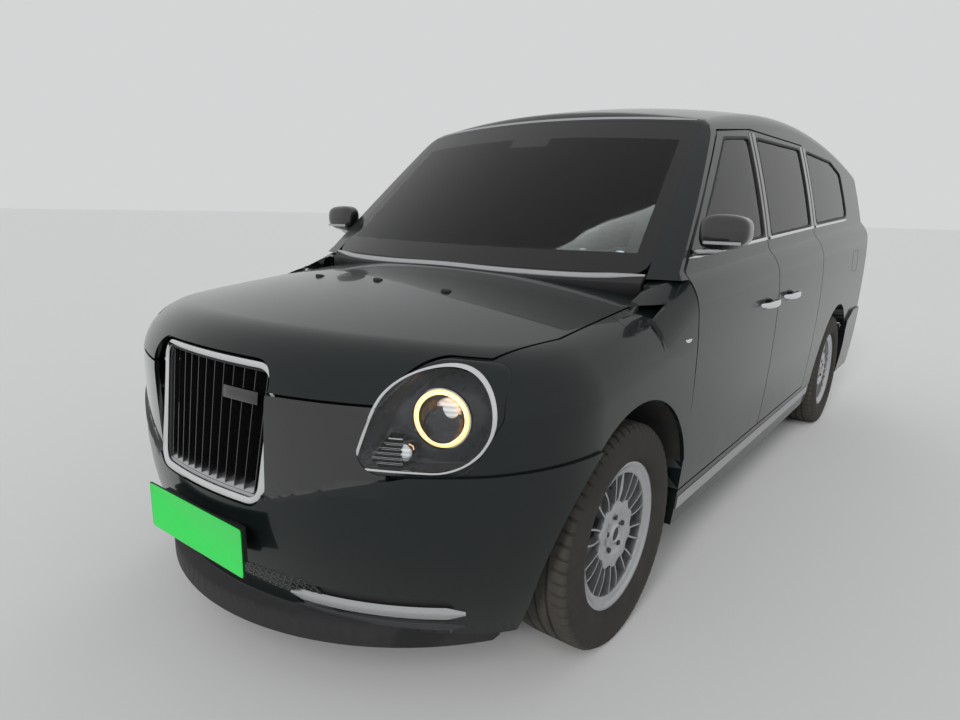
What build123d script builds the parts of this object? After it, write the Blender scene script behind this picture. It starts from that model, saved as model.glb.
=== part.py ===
from build123d import *
import os
from math import asin, atan2, cos, degrees, radians, sin, sqrt, tan

os.makedirs("parts", exist_ok=True)

# A purpose-built taxi cab, parked, wheels straight, every door shut.
# Millimetres. X is across the car with its left side at +X, Y runs rearward, Z is up, and z = 0 is the floor.
# "u" is the distance behind the nose, so that y = u - overall_length / 2.

# Overall
overall_length = 4857
body_half_width = 937
overall_height = 1888
front_axle_u = 885
wheelbase = 2986
track = 1616
rear_axle_u = front_axle_u + wheelbase

# Wheels, 215/65 R17
tyre_width = 215
tyre_radius = 355.5
tread_half_width = 86
bead_radius = 219
rim_half_width = 88
rim_lip_radius = 236
hub_bore = 30
spoke_pairs = 10
disc_radius = 150
disc_thickness = 26
disc_back = -44
spoke_width = 10
spoke_half_angle = 6.2

# Clearances
seat_gap = 0.3
shut_gap = 7
arch_radius = 435
arch_sides = 36

# Steering
kingpin_x = 700
lower_ball_z = 225
upper_ball_z = 500
ball_height = 42
ball_radius = 20
stud_radius = 11
front_rail_z = (380, 480)
driver_x = 400
partition_u = 2760
partition_thickness = 26
column_tilt = 26
column_length = 150
steering_wheel_u = 1880
steering_wheel_z = 1015
steering_wheel_radius = 188

# Walls
skin = 14
side_wall = 80
roof_wall = 42
door_thickness = 75
post_depth = 34
glass_thickness = 5
glass_inset = 6
door_flange = 8
latch_step = 22
door_clear = 5
post_lap = 40
bumper_wall = 22
lamp_depth = 90
lamp_wall = 8
projector_radius = 46
floor_thickness = 30
liner_thickness = 5
wheelhouse_x = 648

# Nose in plan: a front arc and two corner arcs, all tangent
nose_u = 30
corner_radius = 450
corner_u = 650
nose_end_u = 1305
nose_wide_z = 800
nose_shoulder = 190
bonnet_mid_u = 600
bonnet_mid_z = 1070
bonnet_slope = 6.6
bonnet_long_radius = 18800
bonnet_cross_radius = 4500
bonnet_half_width = 800
bonnet_nose_z = 868
cowl_u = 1035
cowl_shelf_z = 1060
cheek_u = 1040
cheek_x = 782
pillar_seat_u = 1170
pillar_seat_z = 1118

# Bumper, hung below the wings and standing proud of them
bumper_joint_z = 700
bumper_proud = 8
bumper_tuck_radius = 1100
bumper_tuck_z = 620
bumper_bottom_z = 225
grille_u = 24
grille_bottom_z = 548
grille_lean = 7.3
grille_ring = 24
grille_depth = 78
grille_half_width = 262
fin_count = 11
fin_thickness = 9
lip_radius = 905
lip_axis_u = 950
lip_top_z = 240
lip_bottom_z = 168

# Side section of the cabin, taken at the front edge of the front door, rising rearward by belt_rise
sill_z = 230
cabin_wide_z = 862
lower_arc = 5000
waist_arc = 1600
waist_lean = 5.5
shoulder_arc = 190
shoulder_lean = 45
belt_x = 866
belt_z = 1146
window_arc = 4000
window_top_x = 676
window_top_z = 1800
belt_rise = 2.8

# Roof and screens
roof_apex_u = 3150
roof_long_radius = 7000
roof_cross_radius = 3600
roof_edge_radius = 90
screen_plan_radius = 2300
screen_base_u = 1070
screen_base_z = 1125
screen_rake = 41
tail_u = 4842
tail_corner = 300
tail_plan_radius = 4000
tail_lean = 13
tail_bend_z = 1010
rear_bumper_proud = 15
rear_bumper_wall = 24

# Door openings in side view
door_front_u = 1305
door_split_u = 2310
door_rear_u = 3213
roof_split_u = 2300
door_bottom_z = 372
door_top_z = 1702

# Openings in front view
pillar_foot = (776, 1128)
pillar_head = (686, 1682)
roof_edge_rise = 28
tailgate_bottom_z = 705
tailgate_joint_u = 4600
tailgate_wall = 60
seal_land = 30

# Floor line
floor_z = 262
rear_floor_z = 470
kick_up_u = 3560
firewall_u = 1332
mat_z = floor_z + floor_thickness + seat_gap


def at(u):
    return u - overall_length / 2


def mirrored(shape):
    return mirror(shape, about=Plane.YZ)


def both(shape):
    return [shape, mirrored(shape)]


def joined(shapes):
    shapes = list(shapes)
    whole = shapes[0]
    for shape in shapes[1:]:
        whole = whole + shape
    return whole


def front_plane(u=0.0):
    """Local x is X and local y is Z."""
    return Plane(origin=(0, at(u), 0), x_dir=(1, 0, 0), z_dir=(0, -1, 0))


def side_plane(x=0.0):
    """Local x runs rearward and local y up."""
    return Plane(origin=(x, 0, 0), x_dir=(0, 1, 0), z_dir=(1, 0, 0))


def outline(points, radius=0):
    if radius:
        return make_face(FilletPolyline(*points, radius=radius, close=True))
    return make_face(Polyline(*points, close=True))


def side_face(points, radius=0):
    """A face in the plane x = 0. Points are (u, z)."""
    return side_plane() * outline([(at(u), z) for u, z in points], radius)


def front_prism(points, radius=0, u0=-200, u1=5200):
    """Points are (x, z)."""
    return extrude(front_plane(u0) * outline(points, radius), amount=-(u1 - u0))


def side_prism(points, radius=0, x0=0, x1=1300):
    """Points are (u, z)."""
    flat = [(at(u), z) for u, z in points]
    return extrude(side_plane(x0) * outline(flat, radius), amount=x1 - x0)


def plan_prism(points, radius=0, z0=0, z1=2300):
    """Points are (x, u)."""
    flat = [(x, at(u)) for x, u in points]
    return Pos(0, 0, z0) * extrude(outline(flat, radius), amount=z1 - z0)


def box(x, u, z):
    """A block between two x, two u and two z."""
    size = (x[1] - x[0], u[1] - u[0], z[1] - z[0])
    return Pos((x[0] + x[1]) / 2, at((u[0] + u[1]) / 2), (z[0] + z[1]) / 2) * Box(*size)


def drum(radius, x0, x1, u, z):
    """A cylinder across the car."""
    place = Plane(origin=(x0, at(u), z), x_dir=(0, 1, 0), z_dir=(1, 0, 0))
    return extrude(place * Circle(radius), amount=x1 - x0)


def rod(start, end, radius):
    """A round bar between two (x, u, z) points."""
    a = Vector(start[0], at(start[1]), start[2])
    b = Vector(end[0], at(end[1]), end[2])
    return extrude(Plane(origin=a, z_dir=b - a) * Circle(radius), amount=(b - a).length)


# Forms: the outer skin as solids, each of which can be set inward

def side_arcs(wide_z, half_width, bottom, inset):
    """The body side up to the waist, as edges, with its foot and its waist point."""
    radius = lower_arc - inset
    centre = half_width - lower_arc
    low = asin((wide_z - bottom) / radius)
    foot = (centre + radius * cos(low), bottom)
    middle = (centre + radius * cos(low / 2), wide_z - radius * sin(low / 2))
    widest = (half_width - inset, wide_z)
    radius = waist_arc - inset
    centre = half_width - waist_arc
    lean = radians(waist_lean)
    bend = (centre + radius * cos(lean / 2), wide_z + radius * sin(lean / 2))
    waist = (centre + radius * cos(lean), wide_z + radius * sin(lean))
    edges = [ThreePointArc(foot, middle, widest), ThreePointArc(widest, bend, waist)]
    return edges, foot, waist


def nose_profile(half_width, inset):
    bottom, top = 100, 1400
    edges, foot, waist = side_arcs(nose_wide_z, half_width, bottom, inset)
    tip = (waist[0] - (top - waist[1]) * tan(radians(waist_lean)), top)
    closing = Polyline(waist, tip, (0, top), (0, bottom), foot)
    return make_face(edges + closing.edges())


def bumper_profile(half_width, inset):
    bottom, top = 100, 760
    radius = bumper_tuck_radius - inset
    edge = half_width + bumper_proud - inset
    centre = half_width + bumper_proud - bumper_tuck_radius
    low = asin((bumper_tuck_z - bottom) / radius)
    foot = (centre + radius * cos(low), bottom)
    middle = (centre + radius * cos(low / 2), bumper_tuck_z - radius * sin(low / 2))
    start = (edge, bumper_tuck_z)
    closing = Polyline(start, (edge, top), (0, top), (0, bottom), foot)
    return make_face([ThreePointArc(foot, middle, start)] + closing.edges())


corner_x = body_half_width - corner_radius
front_arc_radius = ((corner_x ** 2 + (corner_u - nose_u) ** 2 - corner_radius ** 2)
                    / (2 * (corner_u - nose_u - corner_radius)))
front_arc_u = nose_u + front_arc_radius
corner_angle = degrees(atan2(corner_x, front_arc_u - corner_u))


def round_the_nose(profile, inset, end_u):
    """One profile carried round the nose: front arc, corner arcs, then straight back."""
    def turned(half_width, x, u, start, sweep):
        ahead = Vector(sin(radians(start)), -cos(radians(start)), 0)
        place = Plane(origin=(x, at(u), 0), x_dir=ahead, z_dir=ahead.cross(Vector(0, 0, 1)))
        axis = Axis((x, at(u), 0), (0, 0, 1))
        return revolve(place * profile(half_width, inset), axis=axis, revolution_arc=sweep)

    middle = turned(front_arc_radius, 0, front_arc_u, -corner_angle, 2 * corner_angle)
    corner = turned(corner_radius, corner_x, corner_u, corner_angle, 90 - corner_angle)
    half = extrude(front_plane(corner_u) * profile(body_half_width, inset), amount=-(end_u - corner_u))
    return middle + corner + mirrored(corner) + half + mirrored(half)


def crowned_slab(apex_u, apex_z, long_radius, cross_radius, u0, u1, inset):
    """Everything below a surface that is crowned along and across the car."""
    half_width, depth = 1300, 1720
    along, across = long_radius - inset, cross_radius - inset
    drop = across - sqrt(across ** 2 - half_width ** 2)
    crown = ThreePointArc((-half_width, along - drop), (0, along), (half_width, along - drop))
    closing = Polyline((half_width, along - drop), (half_width, along - depth), (-half_width, along - depth),
                       (-half_width, along - drop))
    centre = (0, at(apex_u), apex_z - long_radius)
    axis = Axis(centre, (1, 0, 0))
    start = degrees(asin((u0 - apex_u) / along))
    sweep = degrees(asin((u1 - apex_u) / along)) - start
    place = Plane(origin=centre, x_dir=(1, 0, 0), z_dir=(0, -1, 0))
    face = (place * make_face([crown] + closing.edges())).rotate(axis, -start)
    return revolve(face, axis=axis, revolution_arc=-sweep)


def bonnet_top(inset):
    slope = radians(bonnet_slope)
    apex_u = bonnet_mid_u + bonnet_long_radius * sin(slope)
    apex_z = bonnet_mid_z + bonnet_long_radius * (1 - cos(slope))
    span = (-300, nose_end_u + 200)
    return crowned_slab(apex_u, apex_z, bonnet_long_radius, bonnet_cross_radius, *span, inset)


def nose_form(inset=0):
    form = round_the_nose(nose_profile, inset, nose_end_u) & bonnet_top(inset)
    top = form.faces().sort_by(Axis.Z)[-1]
    rim = [e for e in top.edges() if e.center().Y < at(nose_end_u) - 1]
    return fillet(rim, nose_shoulder - inset)


def bumper_form(inset=0):
    return round_the_nose(bumper_profile, inset, corner_u + 100)


def cabin_section(inset):
    bottom = sill_z - 220
    edges, foot, waist = side_arcs(cabin_wide_z, body_half_width, bottom, inset)
    lean, end = radians(waist_lean), radians(shoulder_lean)
    radius = shoulder_arc - inset
    cx, cz = waist[0] - radius * cos(lean), waist[1] - radius * sin(lean)
    middle = (lean + end) / 2
    shoulder = (cx + radius * cos(end), cz + radius * sin(end))
    edges.append(ThreePointArc(waist, (cx + radius * cos(middle), cz + radius * sin(middle)), shoulder))
    foot_of_glass = (belt_x - inset, belt_z)
    top_of_glass = (window_top_x - inset, window_top_z)
    bulge = ((belt_x - window_top_x) ** 2 + (window_top_z - belt_z) ** 2) / (8 * window_arc)
    halfway = ((foot_of_glass[0] + top_of_glass[0]) / 2 + bulge, (belt_z + window_top_z) / 2)
    edges.append(Line(shoulder, foot_of_glass))
    edges.append(ThreePointArc(foot_of_glass, halfway, top_of_glass))
    edges += Polyline(top_of_glass, (0, window_top_z), (0, bottom), foot).edges()
    flat = make_face(edges)
    high = outline([(0, window_top_z - 40), (window_top_x - inset - 5, window_top_z - 40),
                    (window_top_x - inset - 60, window_top_z + 200), (0, window_top_z + 200)])
    return flat + high


def cabin_sides(inset):
    rise = radians(belt_rise)
    back, forward = (0, cos(rise), sin(rise)), (0, -cos(rise), -sin(rise))
    face = front_plane(door_front_u) * cabin_section(inset)
    half = extrude(face, amount=3700, dir=back) + extrude(face, amount=320, dir=forward)
    return half + mirrored(half)


def leaning_slab(plan_radius, base_u, base_z, slope, z0, z1, inset, facing):
    """Everything behind a screen (facing -1) or before a tail (facing +1)."""
    half_width, depth = 1300, 5200
    radius = plan_radius - inset
    sag = radius - sqrt(radius ** 2 - half_width ** 2)
    shift = inset / sin(radians(slope)) - inset
    front = (base_u + shift) if facing < 0 else (base_u - shift)
    tip = front + inset if facing < 0 else front - inset
    side = tip - facing * sag
    far = tip - facing * depth
    arc = ThreePointArc((-half_width, at(side)), (0, at(tip)), (half_width, at(side)))
    closing = Polyline((half_width, at(side)), (half_width, at(far)), (-half_width, at(far)),
                       (-half_width, at(side)))
    direction = Vector(0, cos(radians(slope)), sin(radians(slope)))
    face = make_face([arc] + closing.edges())
    start = Pos(0, (z0 - base_z) * direction.Y / direction.Z, z0) * face
    return extrude(start, amount=(z1 - z0) / direction.Z, dir=direction)


def screen_slab(inset):
    return leaning_slab(screen_plan_radius, screen_base_u, screen_base_z, screen_rake, 100, 2100, inset, -1)


def tail_slab(inset):
    lean = leaning_slab(tail_plan_radius, tail_u, tail_bend_z, 90 + tail_lean, 100, 2100, inset, 1)
    wide = body_half_width + 20
    points = [(-wide, 800), (wide, 800), (wide, tail_u - inset), (-wide, tail_u - inset)]
    block = plan_prism(points, z0=100, z1=2100)
    corners = [e for e in block.edges().filter_by(Axis.Z) if e.center().Y > 0]
    return lean & fillet(corners, tail_corner - inset)


def cabin_form(inset=0):
    roof = crowned_slab(roof_apex_u, overall_height, roof_long_radius, roof_cross_radius, 700, 5100, inset)
    form = cabin_sides(inset) & roof & screen_slab(inset) & tail_slab(inset)
    top = form.faces().sort_by(Axis.Z)[-1]
    radius = roof_edge_radius - inset
    return fillet(top.edges(), radius) if radius > 9 else form


def shell(form, outer, inner):
    return form(outer) - form(inner)


# Outlines shared by a panel and its neighbours

def arch_points(u, radius):
    """A wheel opening seen from the side, open below and many-sided above."""
    turns = [radians(180 * i / arch_sides) for i in range(arch_sides + 1)]
    bow = [(u + radius * cos(a), tyre_radius + radius * sin(a)) for a in turns]
    return bow + [(u - radius, 0), (u + radius, 0)]


def arch(u, radius=arch_radius, x0=300, x1=1200):
    return side_prism(arch_points(u, radius), x0=x0, x1=x1)


def bonnet_plan(gap):
    """The bonnet's shut line seen from above, narrower by the gap."""
    side = bonnet_half_width - gap
    front, nose, rear_edge = side - 192, side - 70, cowl_u + 148
    points = [(-front, -150), (front, -150), (front, 180), (nose, 335), (side, 620), (side, rear_edge),
              (-side, rear_edge), (-side, 620), (-nose, 335), (-front, 180)]
    return plan_prism(points) & front_of_cowl(gap)


def front_of_cowl(gap):
    """Everything ahead of the bonnet's rear edge, which follows the windscreen."""
    tip, half_width = cowl_u - gap, 1300
    sag = screen_plan_radius - sqrt(screen_plan_radius ** 2 - half_width ** 2)
    arc = ThreePointArc((-half_width, at(tip + sag)), (0, at(tip)), (half_width, at(tip + sag)))
    closing = Polyline((half_width, at(tip + sag)), (half_width, at(-300)), (-half_width, at(-300)),
                       (-half_width, at(tip + sag)))
    return extrude(make_face([arc] + closing.edges()), amount=2200)


def lamp_prism(grow=0):
    """The headlamp's teardrop in front view."""
    points = [(500 - grow, 688 - grow), (760 + grow, 700 - grow), (822 + grow, 840), (800 + grow, 962 + grow),
              (635 - grow, 975 + grow), (560 - grow, 850)]
    return front_prism(points, radius=55 + grow, u0=-100, u1=650)


def bumper_joint(drop=0):
    """The joint between the bumper and what is above it, in front view. The region is below it."""
    z = bumper_joint_z - drop
    half = [(285, z - 120), (480, z - 55), (640, z - 8), (800, z), (960, z + 14)]
    mirrored_half = [(-x, y) for x, y in reversed(half)]
    return front_prism([(-1100, 0)] + [(-1100, z + 14)] + mirrored_half + half + [(1100, z + 14), (1100, 0)])


def grille_outline(grow=0):
    points = [(-258 - grow, 548 - grow), (258 + grow, 548 - grow), (285 + grow, 940 + grow),
              (-285 - grow, 940 + grow)]
    return points


def front_door_outline(grow=0):
    """In side view. A positive grow gives the opening round the door."""
    front, rear = door_front_u - grow, door_split_u + grow
    rear -= shut_gap
    bottom, top = door_bottom_z - grow, door_top_z + grow
    return [(front, bottom), (front, 1150), (front + 62, 1208 + grow), (1868 - grow, 1655 + grow),
            (rear, top), (rear, bottom)]


def rear_door_outline(grow=0):
    front, rear = door_split_u - grow, door_rear_u + grow
    bottom, top = door_bottom_z - grow, door_top_z + grow
    return [(front, bottom), (front, top), (rear, top + 8), (rear, bottom)]


tailgate_window = [(-600, 1270), (600, 1270), (560, 1640), (-560, 1640)]
door_reach = [(600, 150), (600, 1078), (817, 1080), (804, 1110), (791, 1140), (785, 1160), (777, 1200), (757, 1290),
              (738, 1370), (712, 1470), (688, 1560), (676, 1600), (661, 1650), (620, 1760), (1300, 1760), (1300, 150)]
window_outlines = {
    "front_door": [(1445, 1218), (1925, 1636), (2262, 1668), (2262, 1240)],
    "rear_door": [(2368, 1246), (2368, 1676), (3150, 1688), (3150, 1286)],
    "quarter": [(3278, 1296), (3278, 1690), (3900, 1672), (4130, 1610), (4170, 1340)],
}


def pillar_region(gap=0):
    """Outboard of the windscreen and tailgate, in front view, on the left."""
    (x0, z0), (x1, z1) = pillar_foot, pillar_head
    return front_prism([(x0 + gap, 150), (x0 + gap, z0), (x1 + gap, z1), (x1 - 12 + gap, 1960), (1300, 1960),
                        (1300, 150)])


def below_roof_edge(drop=0):
    """Everything below the roof panel's front edge, which is crowned, in front view."""
    x, z = pillar_head
    half_width = 1300
    low, high = z + roof_edge_rise * (1 - (half_width / x) ** 2) - drop, z + roof_edge_rise - drop
    arc = ThreePointArc((-half_width, low), (0, high), (half_width, low))
    closing = Polyline((half_width, low), (half_width, 100), (-half_width, 100), (-half_width, low))
    return extrude(front_plane(cowl_u) * make_face([arc] + closing.edges()), amount=-(roof_split_u - cowl_u))


def screen_region(gap, bottom, top):
    (x0, z0), (x1, z1) = pillar_foot, pillar_head
    slope = (x0 - x1) / (z1 - z0)
    low, high = x0 - gap - slope * max(0, bottom - z0), x0 - gap - slope * (top - z0)
    half = [(low, bottom)]
    if bottom < z0:
        half.append((x0 - gap, z0))
    half.append((high, top))
    points = half + [(-x, z) for x, z in reversed(half)]
    return points


# Forms used more than once
nose = nose_form(0)
nose_wall = nose - nose_form(skin)
cabin = cabin_form(0)
cabin_flange = cabin_form(door_flange)
cabin_trim = cabin_form(door_thickness)
cabin_inner = cabin_form(side_wall)
cabin_seat = cabin_form(side_wall + seat_gap)
glass_wall = cabin_form(glass_inset) - cabin_form(glass_inset + glass_thickness)
left_side = (0, 1200)


# Body panels

def make_bonnet():
    keep = box((-900, 900), (-200, 1400), (bonnet_nose_z, 1400))
    panel = nose_wall & bonnet_plan(shut_gap / 2) & keep
    for cut in both(lamp_prism(shut_gap)) + [grille_block(shut_gap)]:
        panel = panel - cut
    return panel


def cheek():
    """The wing's rear top corner, which rises to the foot of the windscreen pillar."""
    def section(u, wide_z, lean):
        edges, foot, waist = side_arcs(wide_z, body_half_width, 600, 0)
        start, end = radians(waist_lean), radians(lean)
        cx = waist[0] - shoulder_arc * cos(start)
        cz = waist[1] - shoulder_arc * sin(start)
        middle = (start + end) / 2
        top = (cx + shoulder_arc * cos(end), cz + shoulder_arc * sin(end))
        bend = (cx + shoulder_arc * cos(middle), cz + shoulder_arc * sin(middle))
        edges.append(ThreePointArc(waist, bend, top))
        edges += Polyline(top, (700, top[1]), (700, 600), foot).edges()
        return front_plane(u) * make_face(edges)

    return loft([section(cheek_u, 745, 80), section(door_front_u, cabin_wide_z, shoulder_lean)], ruled=True)


def make_wing():
    wall = nose_wall & box(left_side, (-100, nose_end_u), (bumper_bottom_z, 1300))
    outer = (nose + cheek()) & box(left_side, (cheek_u, nose_end_u), (802, 1300))
    inner = box((0, body_half_width - 60), (1000, 1400), (700, 1050))
    wall = (wall + (outer - inner)) - box((0, cheek_x), (cowl_u, 1400), (700, 1400))
    wall = wall - bonnet_plan(-shut_gap / 2) - bumper_joint(-seat_gap)
    lower = nose_wall & box(left_side, (front_axle_u, nose_end_u), (sill_z, bumper_joint_z + 60))
    wall = wall + lower - arch(front_axle_u) - lamp_prism(seat_gap)
    wall = wall & box((560, 1200), (-100, door_front_u - shut_gap), (0, 1300))
    wall = wall - box((600, 1200), (pillar_seat_u - seat_gap, 1400), (pillar_seat_z - seat_gap, 1400))
    edge, span, height = bonnet_half_width, (640, cowl_u + 30), (900, 1300)
    gutter = (nose_form(skin + seat_gap) & box((edge - 16, edge + 30), span, height))
    gutter = (gutter + (nose_form(4) & box((edge + 12, edge + 30), span, height))) - nose_form(skin + 8)
    wall = wall + gutter
    return wall.solids().sort_by(SortBy.VOLUME)[-1]


def make_front_bumper():
    wall = shell(bumper_form, 0, bumper_wall) & bumper_joint()
    wall = wall & box((-1000, 1000), (-100, front_axle_u - 60), (bumper_bottom_z, 760))
    for cut in both(arch(front_axle_u)):
        wall = wall - cut
    above = nose_wall & box((-590, 590), (-100, 400), (bumper_joint_z - 125, bonnet_nose_z - shut_gap))
    above = above - bumper_joint()
    for cut in both(lamp_prism(seat_gap)):
        above = above - cut
    ring = Circle(lip_radius) - Circle(lip_radius - 75)
    lip = Pos(0, at(lip_axis_u), lip_bottom_z) * extrude(ring, amount=lip_top_z - lip_bottom_z)
    lip = lip & box((-745, 745), (-100, lip_axis_u - 480), (0, 400))
    whole = wall + above + lip
    for cut in both(blade_slot()):
        whole = whole - cut
    return whole - grille_block(seat_gap)


def blade_slot(grow=0):
    points = [(300 - grow, 262 - grow), (716 + grow, 276 - grow), (716 + grow, 352 + grow),
              (300 - grow, 338 + grow)]
    return front_prism(points, radius=30, u0=-100, u1=600)


def make_blades():
    wall = shell(bumper_form, bumper_wall - 14, bumper_wall + 12)
    return [wall & s for s in both(blade_slot(-seat_gap))]


def grille_place(back=0.0):
    lean = radians(grille_lean)
    normal = Vector(0, -cos(lean), sin(lean))
    foot = Vector(0, at(grille_u), grille_bottom_z) - normal * back
    return Plane(origin=foot, x_dir=(1, 0, 0), z_dir=normal)


def grille_face(grow):
    points = [(x, (z - grille_bottom_z) / cos(radians(grille_lean))) for x, z in grille_outline(grow)]
    return outline(points, radius=60 + grow)


def grille_block(grow):
    """The grille's outline carried through the nose."""
    return extrude(grille_place(-60) * grille_face(grow), amount=-(grille_depth + 160))


def make_grille_surround():
    ring = extrude(grille_place() * (grille_face(0) - grille_face(-grille_ring)), amount=-grille_depth)
    crown = Pos(0, at(grille_u) + front_arc_radius, 400) * extrude(Circle(front_arc_radius), amount=700)
    return ring & crown.rotate(Axis((0, at(grille_u), grille_bottom_z), (1, 0, 0)), -grille_lean)


def make_grille_slats():
    inside = grille_face(-grille_ring - seat_gap)
    slats = extrude(grille_place(grille_depth - 14) * inside, amount=-12)
    blank = extrude(grille_place(34) * inside, amount=-(grille_depth - 46))
    pitch = 2 * grille_half_width / (fin_count + 1)
    for i in range(fin_count):
        x = -grille_half_width + pitch * (i + 1)
        slats = slats + (blank & box((x - fin_thickness / 2, x + fin_thickness / 2), (-50, 400), (500, 1000)))
    return slats


def make_headlamps():
    body = (nose_form(3) - nose_form(lamp_depth)) & lamp_prism(0)
    hollow = (nose_form(-2) - nose_form(lamp_depth - 18)) & lamp_prism(-lamp_wall)
    facing = Vector(0.35, -0.93, 0)
    barrel = Plane(origin=Vector(672, at(335), 822), z_dir=facing)
    barrel = extrude(barrel * Circle(projector_radius), amount=90) & nose_form(16)
    lamp = body - hollow + (barrel & nose_form(20))
    return both(lamp)


def door_opening():
    return side_prism(front_door_outline(shut_gap)) + side_prism(rear_door_outline(shut_gap))


def make_side_frame():
    """Pillars, roof rail, sill and rear quarter, cut to one outline seen from the side."""
    joint = rear_joint(4)
    ahead = [(door_front_u, sill_z), (door_front_u, pillar_seat_z), (pillar_seat_u, pillar_seat_z),
             (pillar_seat_u, 1900), (4900, 1900)]
    flat = side_face(ahead + joint + [(rear_axle_u + 100, 500), (rear_axle_u, sill_z)])
    flat = flat - side_face(front_door_outline(shut_gap)) - side_face(rear_door_outline(shut_gap))
    flat = flat - side_face(arch_points(rear_axle_u, arch_radius))
    flat = flat - side_face(window_outlines["quarter"], radius=45)
    wall = (cabin & pillar_region(0)) & extrude(flat, amount=1300)
    land = (cabin_form(tailgate_wall + seat_gap) - cabin_inner) & pillar_region(-seal_land)
    land = land & box(left_side, (tailgate_joint_u - 60, 4900), (tailgate_bottom_z + 30, 1600))
    wall = (wall - cabin_inner) + (land - pillar_region(8))
    return wall.solids().sort_by(SortBy.VOLUME)[-1]


def rear_joint(rise):
    """Where the rear bumper meets the side frame and the tailgate, from the rear forward."""
    top, corner = tailgate_bottom_z - 4 + rise, rear_axle_u + arch_radius - 60
    return [(4900, top), (corner + 160, top), (corner, top - 61)]


def tailgate_cut(gap):
    points = screen_region(gap, tailgate_bottom_z + gap, 2000)
    return front_prism(points, u0=tailgate_joint_u + gap)


def make_roof():
    wall = cabin - cabin_form(roof_wall)
    (x, z), top = pillar_head, 1960
    edge = x - seat_gap
    points = [(-edge, 1400), (edge, 1400), (edge, z), (edge - 12, top), (12 - edge, top), (-edge, z)]
    region = front_prism(points, u0=1600, u1=tailgate_joint_u)
    wall = (wall & region & box((-1000, 1000), (1600, 4700), (1500, 2000))) - below_roof_edge()
    return wall.solids().sort_by(SortBy.VOLUME)[-1]


def make_windscreen():
    wall = cabin_form(seat_gap) - cabin_form(seat_gap + glass_thickness)
    points = screen_region(seat_gap, pillar_foot[1] + 4, pillar_head[1] + 2 * roof_edge_rise)
    return wall & front_prism(points, radius=40, u1=roof_split_u) & below_roof_edge(seat_gap)


def pane(name, radius):
    flat = [(at(u), z) for u, z in window_outlines[name]]
    face = offset(outline(flat, radius), -seat_gap)
    return glass_wall & extrude(side_plane(0) * face, amount=1300)


def make_door(name, edge, latch_front):
    """A skin with a flange, and a thick inner part set back where the door shuts on the other one."""
    step = latch_step
    inner = list(edge)
    if latch_front:
        inner[0], inner[1] = (edge[0][0] + step, edge[0][1]), (edge[1][0] + step, edge[1][1])
    else:
        inner[-1], inner[-2] = (edge[-1][0] - step, edge[-1][1]), (edge[-2][0] - step, edge[-2][1])
    window = side_face(window_outlines[name], radius=30)
    outer = extrude(side_face(edge) - window, amount=1300) & screen_slab(34)
    inner = extrude(side_face(inner) - window, amount=1300) & screen_slab(34)
    door = (outer & cabin) - cabin_flange
    door = (door + ((inner & cabin_flange) - cabin_trim)) & front_prism(door_reach)
    return door.solids().sort_by(SortBy.VOLUME)[-1]


def make_tailgate():
    wall = (cabin - cabin_form(tailgate_wall)) & tailgate_cut(shut_gap)
    return wall - front_prism(tailgate_window, radius=50, u0=4300)


def make_tailgate_glass():
    flat = offset(outline(tailgate_window, 50), -seat_gap)
    return glass_wall & extrude(front_plane(4300) * flat, amount=-900)


def make_rear_bumper():
    joint = rear_joint(0)
    region = side_prism(joint + [(joint[-1][0], 262), (4900, 262)], x0=-1200)
    wall = (cabin_form(-rear_bumper_proud) & region) - cabin_form(rear_bumper_wall)
    for cut in both(arch(rear_axle_u)):
        wall = wall - cut
    return wall


# Structure

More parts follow.
